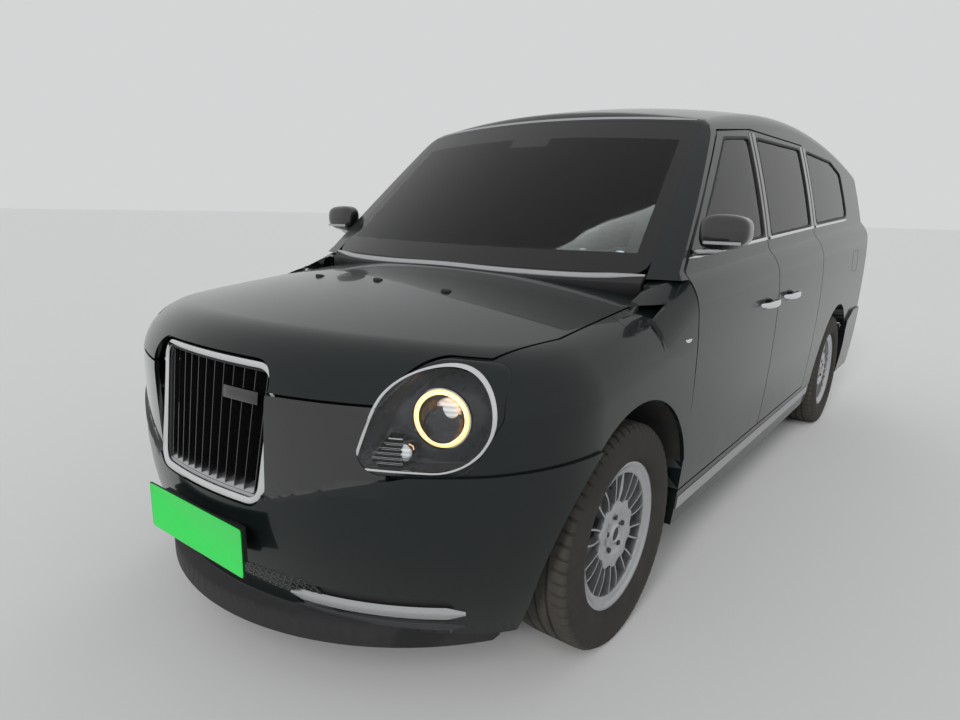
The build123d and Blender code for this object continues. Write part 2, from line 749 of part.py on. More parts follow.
def make_body_frame():
    t = floor_thickness
    back = 4640
    tray = [(firewall_u, cowl_shelf_z), (firewall_u, floor_z), (kick_up_u, floor_z),
            (kick_up_u + 90, rear_floor_z), (back, rear_floor_z), (back, rear_floor_z + t),
            (kick_up_u + 74, rear_floor_z + t), (kick_up_u - 16, floor_z + t), (firewall_u + t, floor_z + t),
            (firewall_u + t, cowl_shelf_z)]
    shelf = [(cowl_u, cowl_shelf_z - 26), (firewall_u + t, cowl_shelf_z - 26), (firewall_u + t, cowl_shelf_z),
             (cowl_u, cowl_shelf_z)]
    frame = side_prism(tray, x0=-900, x1=900) & cabin_seat
    ahead = front_of_cowl(-shut_gap - 3)
    cowl = box((-770, 770), (cowl_u, firewall_u + t), (cowl_shelf_z - 26, pillar_foot[1] + 3)) & cabin
    flange = cowl - cabin_form(skin)
    web = cowl & front_of_cowl(-shut_gap - 3 - skin)
    frame = frame + ((flange + web + side_prism(shelf, x0=-770, x1=770)) - ahead)
    posts = (cabin_seat - cabin_form(side_wall + post_depth)) & side_prism(
        [(firewall_u, floor_z), (firewall_u, 1150), (1800, 1760), (3300, 1790), (3300, floor_z)])
    posts = posts & front_prism([(620, 150), (620, 1128), (560, 1720), (1300, 1720), (1300, 150)])
    posts = posts - (door_opening() - cabin_form(side_wall + door_clear))
    for edge in (front_door_outline(), rear_door_outline()):
        flat = [(at(u), z) for u, z in edge]
        posts = posts - extrude(side_plane(0) * offset(outline(flat), -post_lap), amount=1300)
    seal = cabin_form(door_thickness + seat_gap) - cabin_form(side_wall + door_clear + 2)
    ahead_u, behind_u = door_split_u - shut_gap - latch_step - 14, door_split_u + latch_step + 2
    strips = [box(left_side, (u, u + 12), (430, 1120)) for u in (ahead_u, behind_u)]
    posts = posts + (seal & (strips[0] + strips[1]))
    frame = frame + posts + mirrored(posts)
    rails = []
    for side in (-1, 1):
        low, high = sorted((side * 372, side * 430))
        rails.append(box((low, high), (150, firewall_u + 5), front_rail_z))
        rails.append(box((low, high), (firewall_u - 60, firewall_u + 12), (190, 480)))
        rails.append(box((low, high), (firewall_u, kick_up_u + 60), (190, floor_z + 2)))
        rails.append(box((low, high), (kick_up_u, back), (rear_floor_z - 90, rear_floor_z + 2)))
        rails.append(box((low, high), (kick_up_u, kick_up_u + 90), (190, rear_floor_z)))
    beam = box((-560, 560), (-100, 190), (380, 480)) & bumper_form(bumper_wall + seat_gap)
    frame = joined([frame, beam] + rails)
    for cut in both(arch(rear_axle_u, arch_radius + 8 + seat_gap, wheelhouse_x - seat_gap)):
        frame = frame - cut
    return frame


def make_wheelhouses():
    """Front: a band over the tyre. Rear: a band and the wall that closes the cabin off."""
    radius, t = arch_radius + 8, liner_thickness
    low = bumper_joint_z - 2

    def band(u, x0, z0, wall, inside):
        """Built from pieces of one height, each kept inside its own form."""
        pieces = []
        for side, low, high, form in inside:
            zone = box((x0, 1000), (u, u + side * 600) if side > 0 else (u - 600, u), (max(low, z0), high))
            pieces.append((arch(u, radius, x0) & zone & form) - arch(u, radius - t, x0 + wall))
        return joined(pieces)

    nose_space, room = nose_form(skin + seat_gap), cabin_seat
    # Each row: ahead of the axle (-1) or behind it (1), lowest z, highest z, the form it stays inside
    front = band(front_axle_u, 560, tyre_radius, -1,
                 [(-1, 0, low, bumper_form(bumper_wall + seat_gap)), (-1, low, 900, nose_space),
                  (1, 0, 900, nose_space)])
    top = rear_joint(0)[-1][1] - 20
    rear = band(rear_axle_u, wheelhouse_x, rear_floor_z - 40, t,
                [(-1, 0, 900, room), (1, 0, top, cabin_form(rear_bumper_wall + seat_gap)),
                 (1, top, 900, room)])
    return both(front) + both(rear)


# Wheels and running gear

def make_tyre():
    half, seat, r = tyre_width / 2, bead_radius + seat_gap, tyre_radius
    right = Polyline((r - 5, -tread_half_width), (r, -tread_half_width + 12), (r, -46), (r - 8, -44),
                     (r - 8, -34), (r, -32), (r, -6), (r - 8, -5), (r - 8, 5), (r, 6), (r, 32), (r - 8, 34),
                     (r - 8, 44), (r, 46), (r, tread_half_width - 12), (r - 5, tread_half_width))
    bead, foot = (bead_radius + 18.3, rim_half_width - 7.3), (seat, rim_half_width - 9.4)
    upper = ThreePointArc((r - 5, tread_half_width), (290, half), bead)
    lower = ThreePointArc((r - 5, -tread_half_width), (290, -half), (bead[0], -bead[1]))
    seat_line = Polyline(bead, foot, (foot[0], -foot[1]), (bead[0], -bead[1]))
    return make_face(right.edges() + [upper, lower] + seat_line.edges())


def wheel_place(x, u):
    """Local x is the radius, upward, and local y is outboard."""
    outboard = Vector(1 if x > 0 else -1, 0, 0)
    return Plane(origin=(x, at(u), tyre_radius), x_dir=(0, 0, 1), z_dir=Vector(0, 0, 1).cross(outboard))


def wheel_axis(x, u):
    return Axis((x, at(u), tyre_radius), (1, 0, 0))


def make_rim(x, u):
    place, axis = wheel_place(x, u), wheel_axis(x, u)
    side = 1 if x > 0 else -1
    w, lip, seat = rim_half_width, rim_lip_radius, bead_radius
    # Each profile is a list of (radius, distance outboard)
    barrel = outline([(seat - 10, -w), (lip, -w), (lip, -w + 7), (seat, -w + 9), (seat, w - 9), (lip, w - 7),
                      (lip, w), (lip - 8, w), (seat - 12, w - 12), (seat - 34, w - 14), (seat - 34, w - 32),
                      (seat - 10, w - 34)])
    hub = outline([(hub_bore, -72), (62, -72), (62, 40), (94, 58), (94, w - 10), (88, w - 4), (34, w - 4),
                   (30, w - 16), (0, w - 16), (0, 44), (hub_bore, 40)])
    back, front = disc_back, disc_back + disc_thickness
    disc = outline([(60, back), (disc_radius, back), (disc_radius, front), (60, front)])
    rim = joined(revolve(place * part, axis=axis) for part in (barrel, hub, disc))
    bars = []
    for i in range(spoke_pairs):
        for lean in (-spoke_half_angle, spoke_half_angle):
            inner, outer = 90, seat - 30
            bar = Pos((inner + outer) / 2, 0, 0) * Box(outer - inner + 6, spoke_width, 20)
            bars.append(Rot(0, 0, 360 / spoke_pairs * i + lean) * bar)
    wheel_face = Plane(origin=(x + side * (w - 26), at(u), tyre_radius), x_dir=(0, 0, 1), z_dir=(side, 0, 0))
    for bar in bars:
        rim = rim + wheel_face * bar
    return rim


def arm_legs(x, z, inner_x, inner_z, spread, radius, u=front_axle_u):
    ball = (x, u, z)
    legs = [rod(ball, (inner_x, u + side * spread, inner_z), radius) for side in (-1, 1)]
    return legs


def make_front_suspension():
    left = arm_legs(kingpin_x, lower_ball_z - 29, 380, 236, 190, 15)
    left += arm_legs(kingpin_x, upper_ball_z + 26, 420, 566, 165, 12)
    tower = rod((500, front_axle_u, 250), (470, front_axle_u, 760), 46)
    left.append(tower)
    left.append(box((372, 442), (front_axle_u - 210, front_axle_u + 210), (205, 262)))
    left.append(box((372, 430), (front_axle_u - 50, front_axle_u + 50), (260, front_rail_z[0] - seat_gap)))
    sockets = ((lower_ball_z - ball_height, lower_ball_z - 10),
               (upper_ball_z + 10, upper_ball_z + ball_height))
    for low, high in sockets:
        left.append(rod((kingpin_x, front_axle_u, low), (kingpin_x, front_axle_u, high), ball_radius))
    left.append(box((430 + seat_gap, 480), (front_axle_u - 190, front_axle_u + 190), (400, 592)))
    left.append(box((430 + seat_gap, 520), (front_axle_u - 60, front_axle_u + 60), (585, 790)))
    left = joined(left)
    cross = box((-380, 380), (front_axle_u - 60, front_axle_u + 130), (215, 255))
    return left + mirrored(left) + cross


def make_knuckle():
    u = front_axle_u
    stub = drum(hub_bore - seat_gap, kingpin_x - 10, kingpin_x + 140, u, tyre_radius)
    upright = side_prism([(u - 42, lower_ball_z), (u - 26, tyre_radius + 60), (u - 20, upper_ball_z),
                          (u + 20, upper_ball_z), (u + 26, tyre_radius + 60), (u + 42, lower_ball_z)],
                         x0=kingpin_x - 20, x1=kingpin_x + 20)
    steer_arm = box((kingpin_x - 20, kingpin_x), (u + 20, u + 120), (250, 280))
    caliper = (drum(disc_radius + 22, kingpin_x + 20, kingpin_x + 104, u, tyre_radius)
               - drum(disc_radius + 3, kingpin_x + 58, kingpin_x + 98, u, tyre_radius)
               - drum(86, kingpin_x, kingpin_x + 120, u, tyre_radius))
    caliper = caliper & box((kingpin_x, kingpin_x + 120), (u - 260, u - 70),
                            (tyre_radius - 75, tyre_radius + 75))
    link = box((kingpin_x - 20, kingpin_x + 36), (u - 110, u), (tyre_radius - 30, tyre_radius + 30))
    studs = rod((kingpin_x, u, lower_ball_z - 10 + seat_gap), (kingpin_x, u, upper_ball_z + 10 - seat_gap),
                stud_radius)
    return stub + upright + steer_arm + caliper + link + studs


def make_rear_axle():
    u = rear_axle_u
    unit = fillet(box((-240, 240), (u - 190, u + 170), (230, 455)).edges().filter_by(Axis.X), 45)
    shafts = drum(22, -700, 700, u, tyre_radius)
    left = drum(hub_bore - seat_gap, 690, 838, u, tyre_radius)
    left = left + box((640, 690), (u - 55, u + 55), (tyre_radius - 80, tyre_radius + 60))
    bush_u = kick_up_u + 62
    left = left + rod((650, u, 300), (470, bush_u, 300), 26) + drum(28, 430 + seat_gap, 500, bush_u, 300)
    left = left + rod((650, u + 20, 300), (200, u + 60, 290), 18)
    left = left + rod((585, u + 110, 300), (585, u + 110, rear_floor_z - seat_gap), 48)
    left = left + box((560, 650), (u + 20, u + 150), (270, 300))
    return unit + shafts + left + mirrored(left)


def make_power_unit():
    unit = fillet(box((-350, 350), (400, 1080), (300, 880)).edges(), 30)
    for u in (520, 960):
        unit = unit + box((seat_gap - 372, 372 - seat_gap), (u - 40, u + 40), (400, 460))
    return unit


def make_battery_pack():
    case = box((-360, 360), (1680, 3300), (168, floor_z - seat_gap))
    return fillet(case.edges().filter_by(Axis.Z), 40)


# Cabin

def make_dashboard():
    front = firewall_u + floor_thickness + seat_gap
    profile = [(front, 760), (front, 1100), (1500, 1118), (1640, 1092), (1700, 1020), (1690, 900),
               (1620, 800), (1500, 740)]
    dash = side_prism(profile, x0=-735, x1=735)
    dash = fillet(dash.edges().filter_by(Axis.X), 22)
    return dash + extrude(column_place(-column_length - 110) * Circle(44), amount=110)


def column_place(along=0.0):
    """On the steering column's axis, facing the driver, measured from the wheel's centre."""
    tilt = radians(column_tilt)
    centre = Vector(driver_x, at(steering_wheel_u), steering_wheel_z)
    return Plane(origin=centre, x_dir=(1, 0, 0), z_dir=Vector(0, cos(tilt), sin(tilt))).offset(along)


def make_steering_wheel():
    place = column_place()
    ring = place * Torus(steering_wheel_radius - 15, 15)
    hub = column_place(-45) * extrude(Circle(70), amount=42)
    whole = ring + fillet(hub.edges(), 12)
    for angle in (0, 180, 270):
        arm = Pos(steering_wheel_radius / 2 + 18, 0, -14) * Box(steering_wheel_radius - 50, 34, 16)
        whole = whole + place * (Rot(0, 0, angle) * arm)
    column = column_place(seat_gap - column_length) * extrude(Circle(24), amount=column_length - 40)
    return whole + column


def seat_block(x, u, z, radius):
    return fillet(box(x, u, z).edges(), radius)


def make_driver_seat():
    x = (driver_x - 250, driver_x + 250)
    cushion = seat_block(x, (2040, 2530), (560, 700), 45)
    back_tilt = Axis((0, at(2520), 640), (1, 0, 0))
    back = seat_block(x, (2470, 2590), (640, 1260), 45).rotate(back_tilt, -12)
    head = seat_block((driver_x - 130, driver_x + 130), (2480, 2570), (1290, 1480), 38).rotate(back_tilt, -12)
    stem = box((driver_x - 80, driver_x + 80), (2515, 2535), (1200, 1320)).rotate(back_tilt, -12)
    pedestal = box((driver_x - 200, driver_x + 200), (2110, 2480), (mat_z, 580))
    return joined([cushion, back, head, stem, pedestal])


def make_partition():
    wall = front_prism([(-1000, mat_z), (1000, mat_z), (1000, 1900), (-1000, 1900)],
                       u0=partition_u, u1=partition_u + partition_thickness)
    room = cabin_form(side_wall + post_depth + seat_gap)
    window = front_prism([(-560, 1090), (560, 1090), (520, 1620), (-520, 1620)], radius=50)
    return (wall & room) - window


def make_rear_seats():
    floor = rear_floor_z + floor_thickness + seat_gap
    bench = seat_block((-600, 600), (3860, 4360), (floor, 690), 40)
    back_tilt = Axis((0, at(4360), 640), (1, 0, 0))
    bench_back = seat_block((-600, 600), (4300, 4420), (610, 1270), 40).rotate(back_tilt, -10)
    heads = [seat_block((x - 120, x + 120), (4400, 4480), (1240, 1420), 34) for x in (-400, 0, 400)]
    whole = joined([bench, bench_back] + heads)
    tips = []
    for x in (-430, 0, 430):
        face_u = partition_u + partition_thickness + seat_gap
        pad = seat_block((x - 190, x + 190), (face_u, partition_u + 110), (560, 1010), 30)
        tips.append(pad)
    return whole.solids() + tips


# Lamps, trim and small pieces

def make_tail_lamps():
    region = front_prism([(804, 800), (884, 800), (858, 1220), (796, 1220)], radius=24, u0=4500)
    lamp = (cabin_form(-7) - cabin_form(-seat_gap)) & region
    return both(lamp)


def make_plates():
    front = box((-240, 240), (0, 6), (362, 502))
    mount = box((-200, 200), (6, 40), (380, 484))
    mount = mount - bumper_form(-seat_gap)
    plate = front + mount
    rear = front_prism([(-240, 760), (240, 760), (240, 900), (-240, 900)], u0=tail_u + 2, u1=tail_u + 8)
    foot = front_prism([(-200, 780), (200, 780), (200, 880), (-200, 880)], u0=tail_u - 30, u1=tail_u + 2)
    foot = foot - cabin_form(-seat_gap)
    return plate, rear + foot


def make_body_trim():
    """Bright strips: at the foot of the windscreen, over the doors, and along the sills."""
    proud = cabin_form(-3) - cabin_form(-seat_gap)
    sill = proud & side_prism([(door_front_u + 10, sill_z + 60), (door_front_u + 10, sill_z + 110),
                               (rear_axle_u - arch_radius - 30, sill_z + 110),
                               (rear_axle_u - arch_radius - 30, sill_z + 60)])
    return both(sill)


def make_mirror():
    pod = box((872, 1042), (1345, 1452), (1205, 1335))
    pod = fillet(pod.edges(), 40)
    arm = box((800, 930), (1385, 1425), (1188, 1216))
    arm = arm - cabin_form(-seat_gap)
    return pod + arm


def write(name, solids):
    solids = [s for shape in solids for s in shape.solids()]
    whole = solids[0] if len(solids) == 1 else Compound(children=solids)
    export_step(whole, "parts/" + name + ".step")
    print(name, len(solids), [round(s.volume / 1000) for s in solids])


bonnet = make_bonnet()
wing = make_wing()
side_frame = make_side_frame()
front_door = make_door("front_door", front_door_outline(), False)
rear_door = make_door("rear_door", rear_door_outline(), True)
front_glass, rear_glass = pane("front_door", 30), pane("rear_door", 30)
knuckle = make_knuckle()
mirror_pod = make_mirror()

write("bonnet", [bonnet])
for side, turn in (("left", lambda s: s), ("right", mirrored)):
    write("wing_" + side, [turn(wing)])
    write("side_frame_" + side, [turn(side_frame)])
    write("front_door_" + side, [turn(front_door)])
    write("rear_door_" + side, [turn(rear_door)])
    write("front_door_glass_" + side, [turn(front_glass)])
    write("rear_door_glass_" + side, [turn(rear_glass)])
    write("mirror_" + side, [turn(mirror_pod)])
    write("knuckle_" + side, [turn(knuckle)])
write("quarter_glass", both(pane("quarter", 45)))
write("front_bumper", [make_front_bumper()])
write("bumper_blades", make_blades())
write("grille_surround", [make_grille_surround()])
write("grille_slats", [make_grille_slats()])
write("headlamps", make_headlamps())
write("roof_panel", [make_roof()])
write("windscreen", [make_windscreen()])
write("tailgate", [make_tailgate()])
write("tailgate_glass", [make_tailgate_glass()])
write("rear_bumper", [make_rear_bumper()])
write("body_frame", [make_body_frame()])
write("wheelhouses", make_wheelhouses())
write("front_suspension", [make_front_suspension()])
write("rear_axle", [make_rear_axle()])
write("power_unit", [make_power_unit()])
write("battery_pack", [make_battery_pack()])
write("dashboard", [make_dashboard()])
write("steering_wheel", [make_steering_wheel()])
write("driver_seat", [make_driver_seat()])
write("partition", [make_partition()])
write("rear_seats", make_rear_seats())
write("tail_lamps", make_tail_lamps())
write("number_plates", list(make_plates()))
write("body_trim", make_body_trim())
for end, u in (("front", front_axle_u), ("rear", rear_axle_u)):
    for side, x in (("left", track / 2), ("right", -track / 2)):
        tyre = revolve(wheel_place(x, u) * make_tyre(), axis=wheel_axis(x, u))
        write("tyre_" + end + "_" + side, [tyre])
        write("rim_" + end + "_" + side, [make_rim(x, u)])
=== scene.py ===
import bpy
import bmesh
import math
import numpy as np
from mathutils import Matrix, Vector
from mathutils.bvhtree import BVHTree


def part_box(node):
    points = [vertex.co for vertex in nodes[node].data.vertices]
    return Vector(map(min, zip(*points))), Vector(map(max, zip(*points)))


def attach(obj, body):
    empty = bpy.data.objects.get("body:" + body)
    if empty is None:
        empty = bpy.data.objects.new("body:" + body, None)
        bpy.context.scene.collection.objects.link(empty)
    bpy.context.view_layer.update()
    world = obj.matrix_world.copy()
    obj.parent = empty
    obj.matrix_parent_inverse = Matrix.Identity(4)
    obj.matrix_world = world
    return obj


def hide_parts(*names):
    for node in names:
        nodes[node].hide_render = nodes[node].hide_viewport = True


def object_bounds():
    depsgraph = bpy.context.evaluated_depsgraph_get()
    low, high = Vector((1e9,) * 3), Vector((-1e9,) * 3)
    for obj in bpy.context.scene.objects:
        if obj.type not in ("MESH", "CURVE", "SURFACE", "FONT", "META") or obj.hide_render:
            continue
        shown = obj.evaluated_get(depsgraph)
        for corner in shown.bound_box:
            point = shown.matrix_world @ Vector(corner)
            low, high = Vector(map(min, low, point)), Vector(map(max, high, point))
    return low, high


# A parked taxi cab in metres: +X is its left side, -Y its nose, +Z up. "u" is the distance behind the nose.

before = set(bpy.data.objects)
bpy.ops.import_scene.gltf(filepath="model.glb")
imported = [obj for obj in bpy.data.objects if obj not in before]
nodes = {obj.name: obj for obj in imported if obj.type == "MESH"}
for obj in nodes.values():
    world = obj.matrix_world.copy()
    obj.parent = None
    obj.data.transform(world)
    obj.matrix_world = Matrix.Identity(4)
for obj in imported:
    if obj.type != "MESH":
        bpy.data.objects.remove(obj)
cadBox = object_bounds()
mm = 0.001
carLength = cadBox[1].y - cadBox[0].y


def at(u):
    return u - carLength / 2


def vec(x, u, z):
    return Vector((x, at(u), z))


def nodeMiddle(name):
    low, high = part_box(name)
    return (low + high) / 2


def addObject(name, data):
    made = bpy.data.objects.new(name, data)
    bpy.context.scene.collection.objects.link(made)
    return made


# Left is +X. The tags end the names of pieces and bodies
sides = ((1, "_left"), (-1, "_right"))
tiny = 1e-6


# Camera at the photograph's angle

cameraPlace = dict(position=(1.68538, -3.30275, 1.32834), azimuth=-37.5554, elevation=-12.7809, roll=1.2912,
                   focalPixels=659.978, imageWidth=960, sensor=36)


def addCamera():
    azimuth, elevation, roll = (math.radians(cameraPlace[k]) for k in ("azimuth", "elevation", "roll"))
    level = math.cos(elevation)
    forward = Vector((math.sin(azimuth) * level, math.cos(azimuth) * level, math.sin(elevation)))
    right = forward.cross(Vector((0, 0, 1))).normalized()
    up = right.cross(forward)
    turnedRight = right * math.cos(roll) + up * math.sin(roll)
    turnedUp = up * math.cos(roll) - right * math.sin(roll)
    data = bpy.data.cameras.new("camera")
    data.sensor_width = cameraPlace["sensor"]
    data.lens = cameraPlace["focalPixels"] / cameraPlace["imageWidth"] * cameraPlace["sensor"]
    camera = addObject("camera", data)
    turn = Matrix((turnedRight, turnedUp, -forward)).transposed().to_4x4()
    camera.matrix_world = Matrix.Translation(cameraPlace["position"]) @ turn
    bpy.context.scene.camera = camera


addCamera()


# Outer skin as distances, so that panels, glass and trim all lie on one surface.
# Each form takes an array of points and gives how far each lies outside it, with the outward direction there.

noseSkin = dict(halfWidth=0.937, noseU=0.030, cornerRadius=0.450, cornerU=0.650, wideZ=0.800, lowerArc=5.0,
                waistArc=1.6, waistLean=math.radians(5.5), shoulder=0.190, midU=0.600, midZ=1.070,
                slope=math.radians(6.6), longRadius=18.8, crossRadius=4.5)
bumperSkin = dict(proud=0.008, tuckZ=0.620, tuckRadius=1.1)
cabinSkin = dict(frontU=1.305, wideZ=0.862, shoulderArc=0.190, shoulderLean=math.radians(45), beltX=0.866,
                 beltZ=1.146, glassArc=4.0, topX=0.676, topZ=1.800, rise=math.radians(2.8), roofU=3.150,
                 roofZ=1.888, roofLong=7.0, roofCross=3.6, edge=0.090, screenPlan=2.3, screenU=1.070,
                 screenZ=1.125, rake=math.radians(41), tailPlan=4.0, tailU=4.842, tailZ=1.010,
                 tailLean=math.radians(13), tailCorner=0.300, tailWider=0.020)


def coordinates(points):
    return np.abs(points[:, 0]), points[:, 1] + carLength / 2, points[:, 2], np.where(points[:, 0] < 0, -1.0, 1.0)


def scaled(depth, gx, gu, gz):
    size = np.sqrt(gx ** 2 + gu ** 2 + gz ** 2)
    return depth / size, np.stack([gx / size, gu / size, gz / size], 1)


def outerOf(first, second):
    pick = first[0] > second[0]
    return np.where(pick, first[0], second[0]), np.where(pick[:, None], first[1], second[1])


def filleted(first, second, radius):
    (a, na), (b, nb) = first, second
    g = np.clip(np.sum(na * nb, axis=1), -0.98, 0.98)
    fromA, fromB = (a + radius) / radius, (b + radius) / radius
    alpha, beta = (fromA - g * fromB) / (1 - g * g), (fromB - g * fromA) / (1 - g * g)
    ball = alpha[:, None] * na + beta[:, None] * nb
    size = np.maximum(np.linalg.norm(ball, axis=1), tiny)
    isBall = (alpha > 0) & (beta > 0)
    flatDepth, flatNormal = outerOf(first, second)
    depth = np.where(isBall, radius * (size - 1), flatDepth)
    return depth, np.where(isBall[:, None], ball / size[:, None], flatNormal)


def planForm(x, u):
    k = noseSkin
    cx, cu = k["halfWidth"] - k["cornerRadius"], k["cornerU"]
    reach = cu - k["noseU"]
    big = (cx ** 2 + reach ** 2 - k["cornerRadius"] ** 2) / (2 * (reach - k["cornerRadius"]))
    turn = math.atan2(cx, k["noseU"] + big - cu)
    corner = np.maximum(np.hypot(x - cx, u - cu), tiny)
    front = np.maximum(np.hypot(x, u - k["noseU"] - big), tiny)
    isSide = u >= cu
    isCorner = ~isSide & (np.arctan2(x - cx, cu - u) > turn)
    d = np.where(isSide, x - k["halfWidth"], np.where(isCorner, corner - k["cornerRadius"], front - big))
    gx = np.where(isSide, 1.0, np.where(isCorner, (x - cx) / corner, x / front))
    gu = np.where(isSide, 0.0, np.where(isCorner, (u - cu) / corner, (u - k["noseU"] - big) / front))
    return d, gx, gu


def waistFall(z, wideZ):
    k = noseSkin
    below, above = np.clip(wideZ - z, 0, 2), np.clip(z - wideZ, 0, k["waistArc"] * math.sin(k["waistLean"]))
    low, high = np.sqrt(k["lowerArc"] ** 2 - below ** 2), np.sqrt(k["waistArc"] ** 2 - above ** 2)
    past = np.maximum(z - wideZ - k["waistArc"] * math.sin(k["waistLean"]), 0)
    fall = k["lowerArc"] - low + k["waistArc"] - high + past * math.tan(k["waistLean"])
    return fall, -below / low + above / high


def noseForm(points):
    k = noseSkin
    x, u, z, side = coordinates(points)
    d, gx, gu = planForm(x, u)
    fall, slope = waistFall(z, k["wideZ"])
    flank = scaled(d + fall, gx * side, gu, slope)
    topU = k["midU"] + k["longRadius"] * math.sin(k["slope"])
    topZ = k["midZ"] + k["longRadius"] * (1 - math.cos(k["slope"])) - k["longRadius"]
    along = np.hypot(u - topU, z - topZ)
    across = np.sqrt(np.maximum(k["crossRadius"] ** 2 - x ** 2, 1))
    depth = along - k["longRadius"] + k["crossRadius"] - across
    crown = scaled(depth, side * x / across, (u - topU) / along, (z - topZ) / along)
    return filleted(crown, flank, k["shoulder"])


def bumperForm(points):
    k = bumperSkin
    x, u, z, side = coordinates(points)
    d, gx, gu = planForm(x, u)
    below = np.clip(k["tuckZ"] - z, 0, 0.9)
    arc = np.sqrt(k["tuckRadius"] ** 2 - below ** 2)
    return scaled(d - k["proud"] + k["tuckRadius"] - arc, gx * side, gu, -below / arc)


def cabinForm(points):
    k = cabinSkin
    x, u, z, side = coordinates(points)
    lean, end, radius = noseSkin["waistLean"], k["shoulderLean"], k["shoulderArc"]
    h = z - (u - k["frontU"]) * math.tan(k["rise"])
    fall, slope = waistFall(h, k["wideZ"])
    waistX = noseSkin["halfWidth"] - noseSkin["waistArc"] * (1 - math.cos(lean))
    waistZ = k["wideZ"] + noseSkin["waistArc"] * math.sin(lean)
    cx, cz = waistX - radius * math.cos(lean), waistZ - radius * math.sin(lean)
    shoulder = (cx + radius * math.cos(end), cz + radius * math.sin(end))
    above = np.clip(h - cz, radius * math.sin(lean), radius * math.sin(end))
    arcReach = np.sqrt(radius ** 2 - above ** 2)
    flatSlope = (k["beltX"] - shoulder[0]) / (k["beltZ"] - shoulder[1])
    chord = Vector((k["topX"] - k["beltX"], k["topZ"] - k["beltZ"]))
    inward = Vector((-chord.y, chord.x)).normalized()
    reach = math.sqrt(k["glassArc"] ** 2 - (chord.length / 2) ** 2)
    middle = Vector((k["beltX"], k["beltZ"])) + chord / 2 + inward * reach
    glassReach = np.sqrt(k["glassArc"] ** 2 - (h - middle.y) ** 2)
    zones = [h < waistZ, h < shoulder[1], h < k["beltZ"]]
    sideX = np.select(zones, [noseSkin["halfWidth"] - fall, cx + arcReach,
                              shoulder[0] + (h - shoulder[1]) * flatSlope], middle.x + glassReach)
    sideSlope = np.select(zones, [-slope, -above / arcReach, np.full(len(h), flatSlope)],
                          -(h - middle.y) / glassReach)
    flank = scaled(x - sideX, side, sideSlope * math.tan(k["rise"]), -sideSlope)
    lowest = k["roofZ"] - k["roofLong"]
    along, across = np.hypot(u - k["roofU"], z - lowest), np.sqrt(np.maximum(k["roofCross"] ** 2 - x ** 2, 1))
    roof = scaled(along - k["roofLong"] + k["roofCross"] - across, side * x / across,
                  (u - k["roofU"]) / along, (z - lowest) / along)
    ahead = k["screenU"] + k["screenPlan"] - u + (z - k["screenZ"]) / math.tan(k["rake"])
    away = np.hypot(x, ahead)
    screen = scaled(away - k["screenPlan"], side * x / away, -ahead / away, ahead / away / math.tan(k["rake"]))
    behind = u + (z - k["tailZ"]) * math.tan(k["tailLean"]) - k["tailU"] + k["tailPlan"]
    away = np.hypot(x, behind)
    tail = scaled(away - k["tailPlan"], side * x / away, behind / away, behind / away * math.tan(k["tailLean"]))
    wide = noseSkin["halfWidth"] + k["tailWider"] - k["tailCorner"]
    dx, du = x - wide, u - k["tailU"] + k["tailCorner"]
    away = np.maximum(np.hypot(dx, du), tiny)
    isCorner = (dx > 0) & (du > 0)
    block = (np.where(isCorner, away, np.maximum(dx, du)) - k["tailCorner"],
             np.stack([side * np.where(isCorner, dx / away, dx > du), np.where(isCorner, du / away, dx <= du),
                       np.zeros(len(x))], 1))
    walls = outerOf(outerOf(flank, screen), outerOf(tail, block))
    return filleted(roof, walls, k["edge"])


def asArray(vectors):
    return np.array([tuple(v) for v in vectors], float).reshape(-1, 3)


def onto(points, form, lift=0.0):
    # Slides points along the outward direction until they lie on the form, or lift above it
    moved = np.array(points, float)
    for _ in range(6):
        depth, normal = form(moved)
        moved = moved - (depth - lift)[:, None] * normal
    return moved


# Shader maths as expressions on sockets

class Value:
    def __init__(self, owner, socket):
        self.owner, self.socket = owner, socket

    def maths(self, operation, first, second=0.0):
        return Value(self.owner, self.owner.add("Math", {"operation": operation}, {0: first, 1: second}).outputs[0])

    def __add__(self, other):
        return self.maths("ADD", self, other)

    def __radd__(self, other):
        return self.maths("ADD", other, self)

    def __sub__(self, other):
        return self.maths("SUBTRACT", self, other)

    def __rsub__(self, other):
        return self.maths("SUBTRACT", other, self)

    def __mul__(self, other):
        return self.maths("MULTIPLY", self, other)

    def __rmul__(self, other):
        return self.maths("MULTIPLY", other, self)

    def __truediv__(self, other):
        return self.maths("DIVIDE", self, other)

    def __rtruediv__(self, other):
        return self.maths("DIVIDE", other, self)

    def __gt__(self, other):
        return self.maths("GREATER_THAN", self, other)

    def __lt__(self, other):
        return self.maths("LESS_THAN", self, other)

    def __abs__(self):
        return self.maths("ABSOLUTE", self)

    def power(self, exponent):
        return self.maths("POWER", self, exponent)

    def sine(self):
        return self.maths("SINE", self)

    def least(self, other):
        return self.maths("MINIMUM", self, other)

    def most(self, other):
        return self.maths("MAXIMUM", self, other)

    def ramp(self, low, high):
        node = self.owner.add("MapRange", {"clamp": True}, {"Value": self, "From Min": low, "From Max": high})
        return Value(self.owner, node.outputs[0])


class NodeTree:
    def __init__(self, tree):
        self.tree = tree

    def add(self, kind, settings=None, values=None):
        node = self.tree.nodes.new("ShaderNode" + kind)
        for key, setting in (settings or {}).items():
            setattr(node, key, setting)
        for key, value in (values or {}).items():
            self.feedSocket(node.inputs[key], value)
        return node

    def feedSocket(self, socket, value):
        source = value.socket if isinstance(value, Value) else value
        if isinstance(source, bpy.types.NodeSocket):
            self.tree.links.new(source, socket)
        else:
            socket.default_value = source


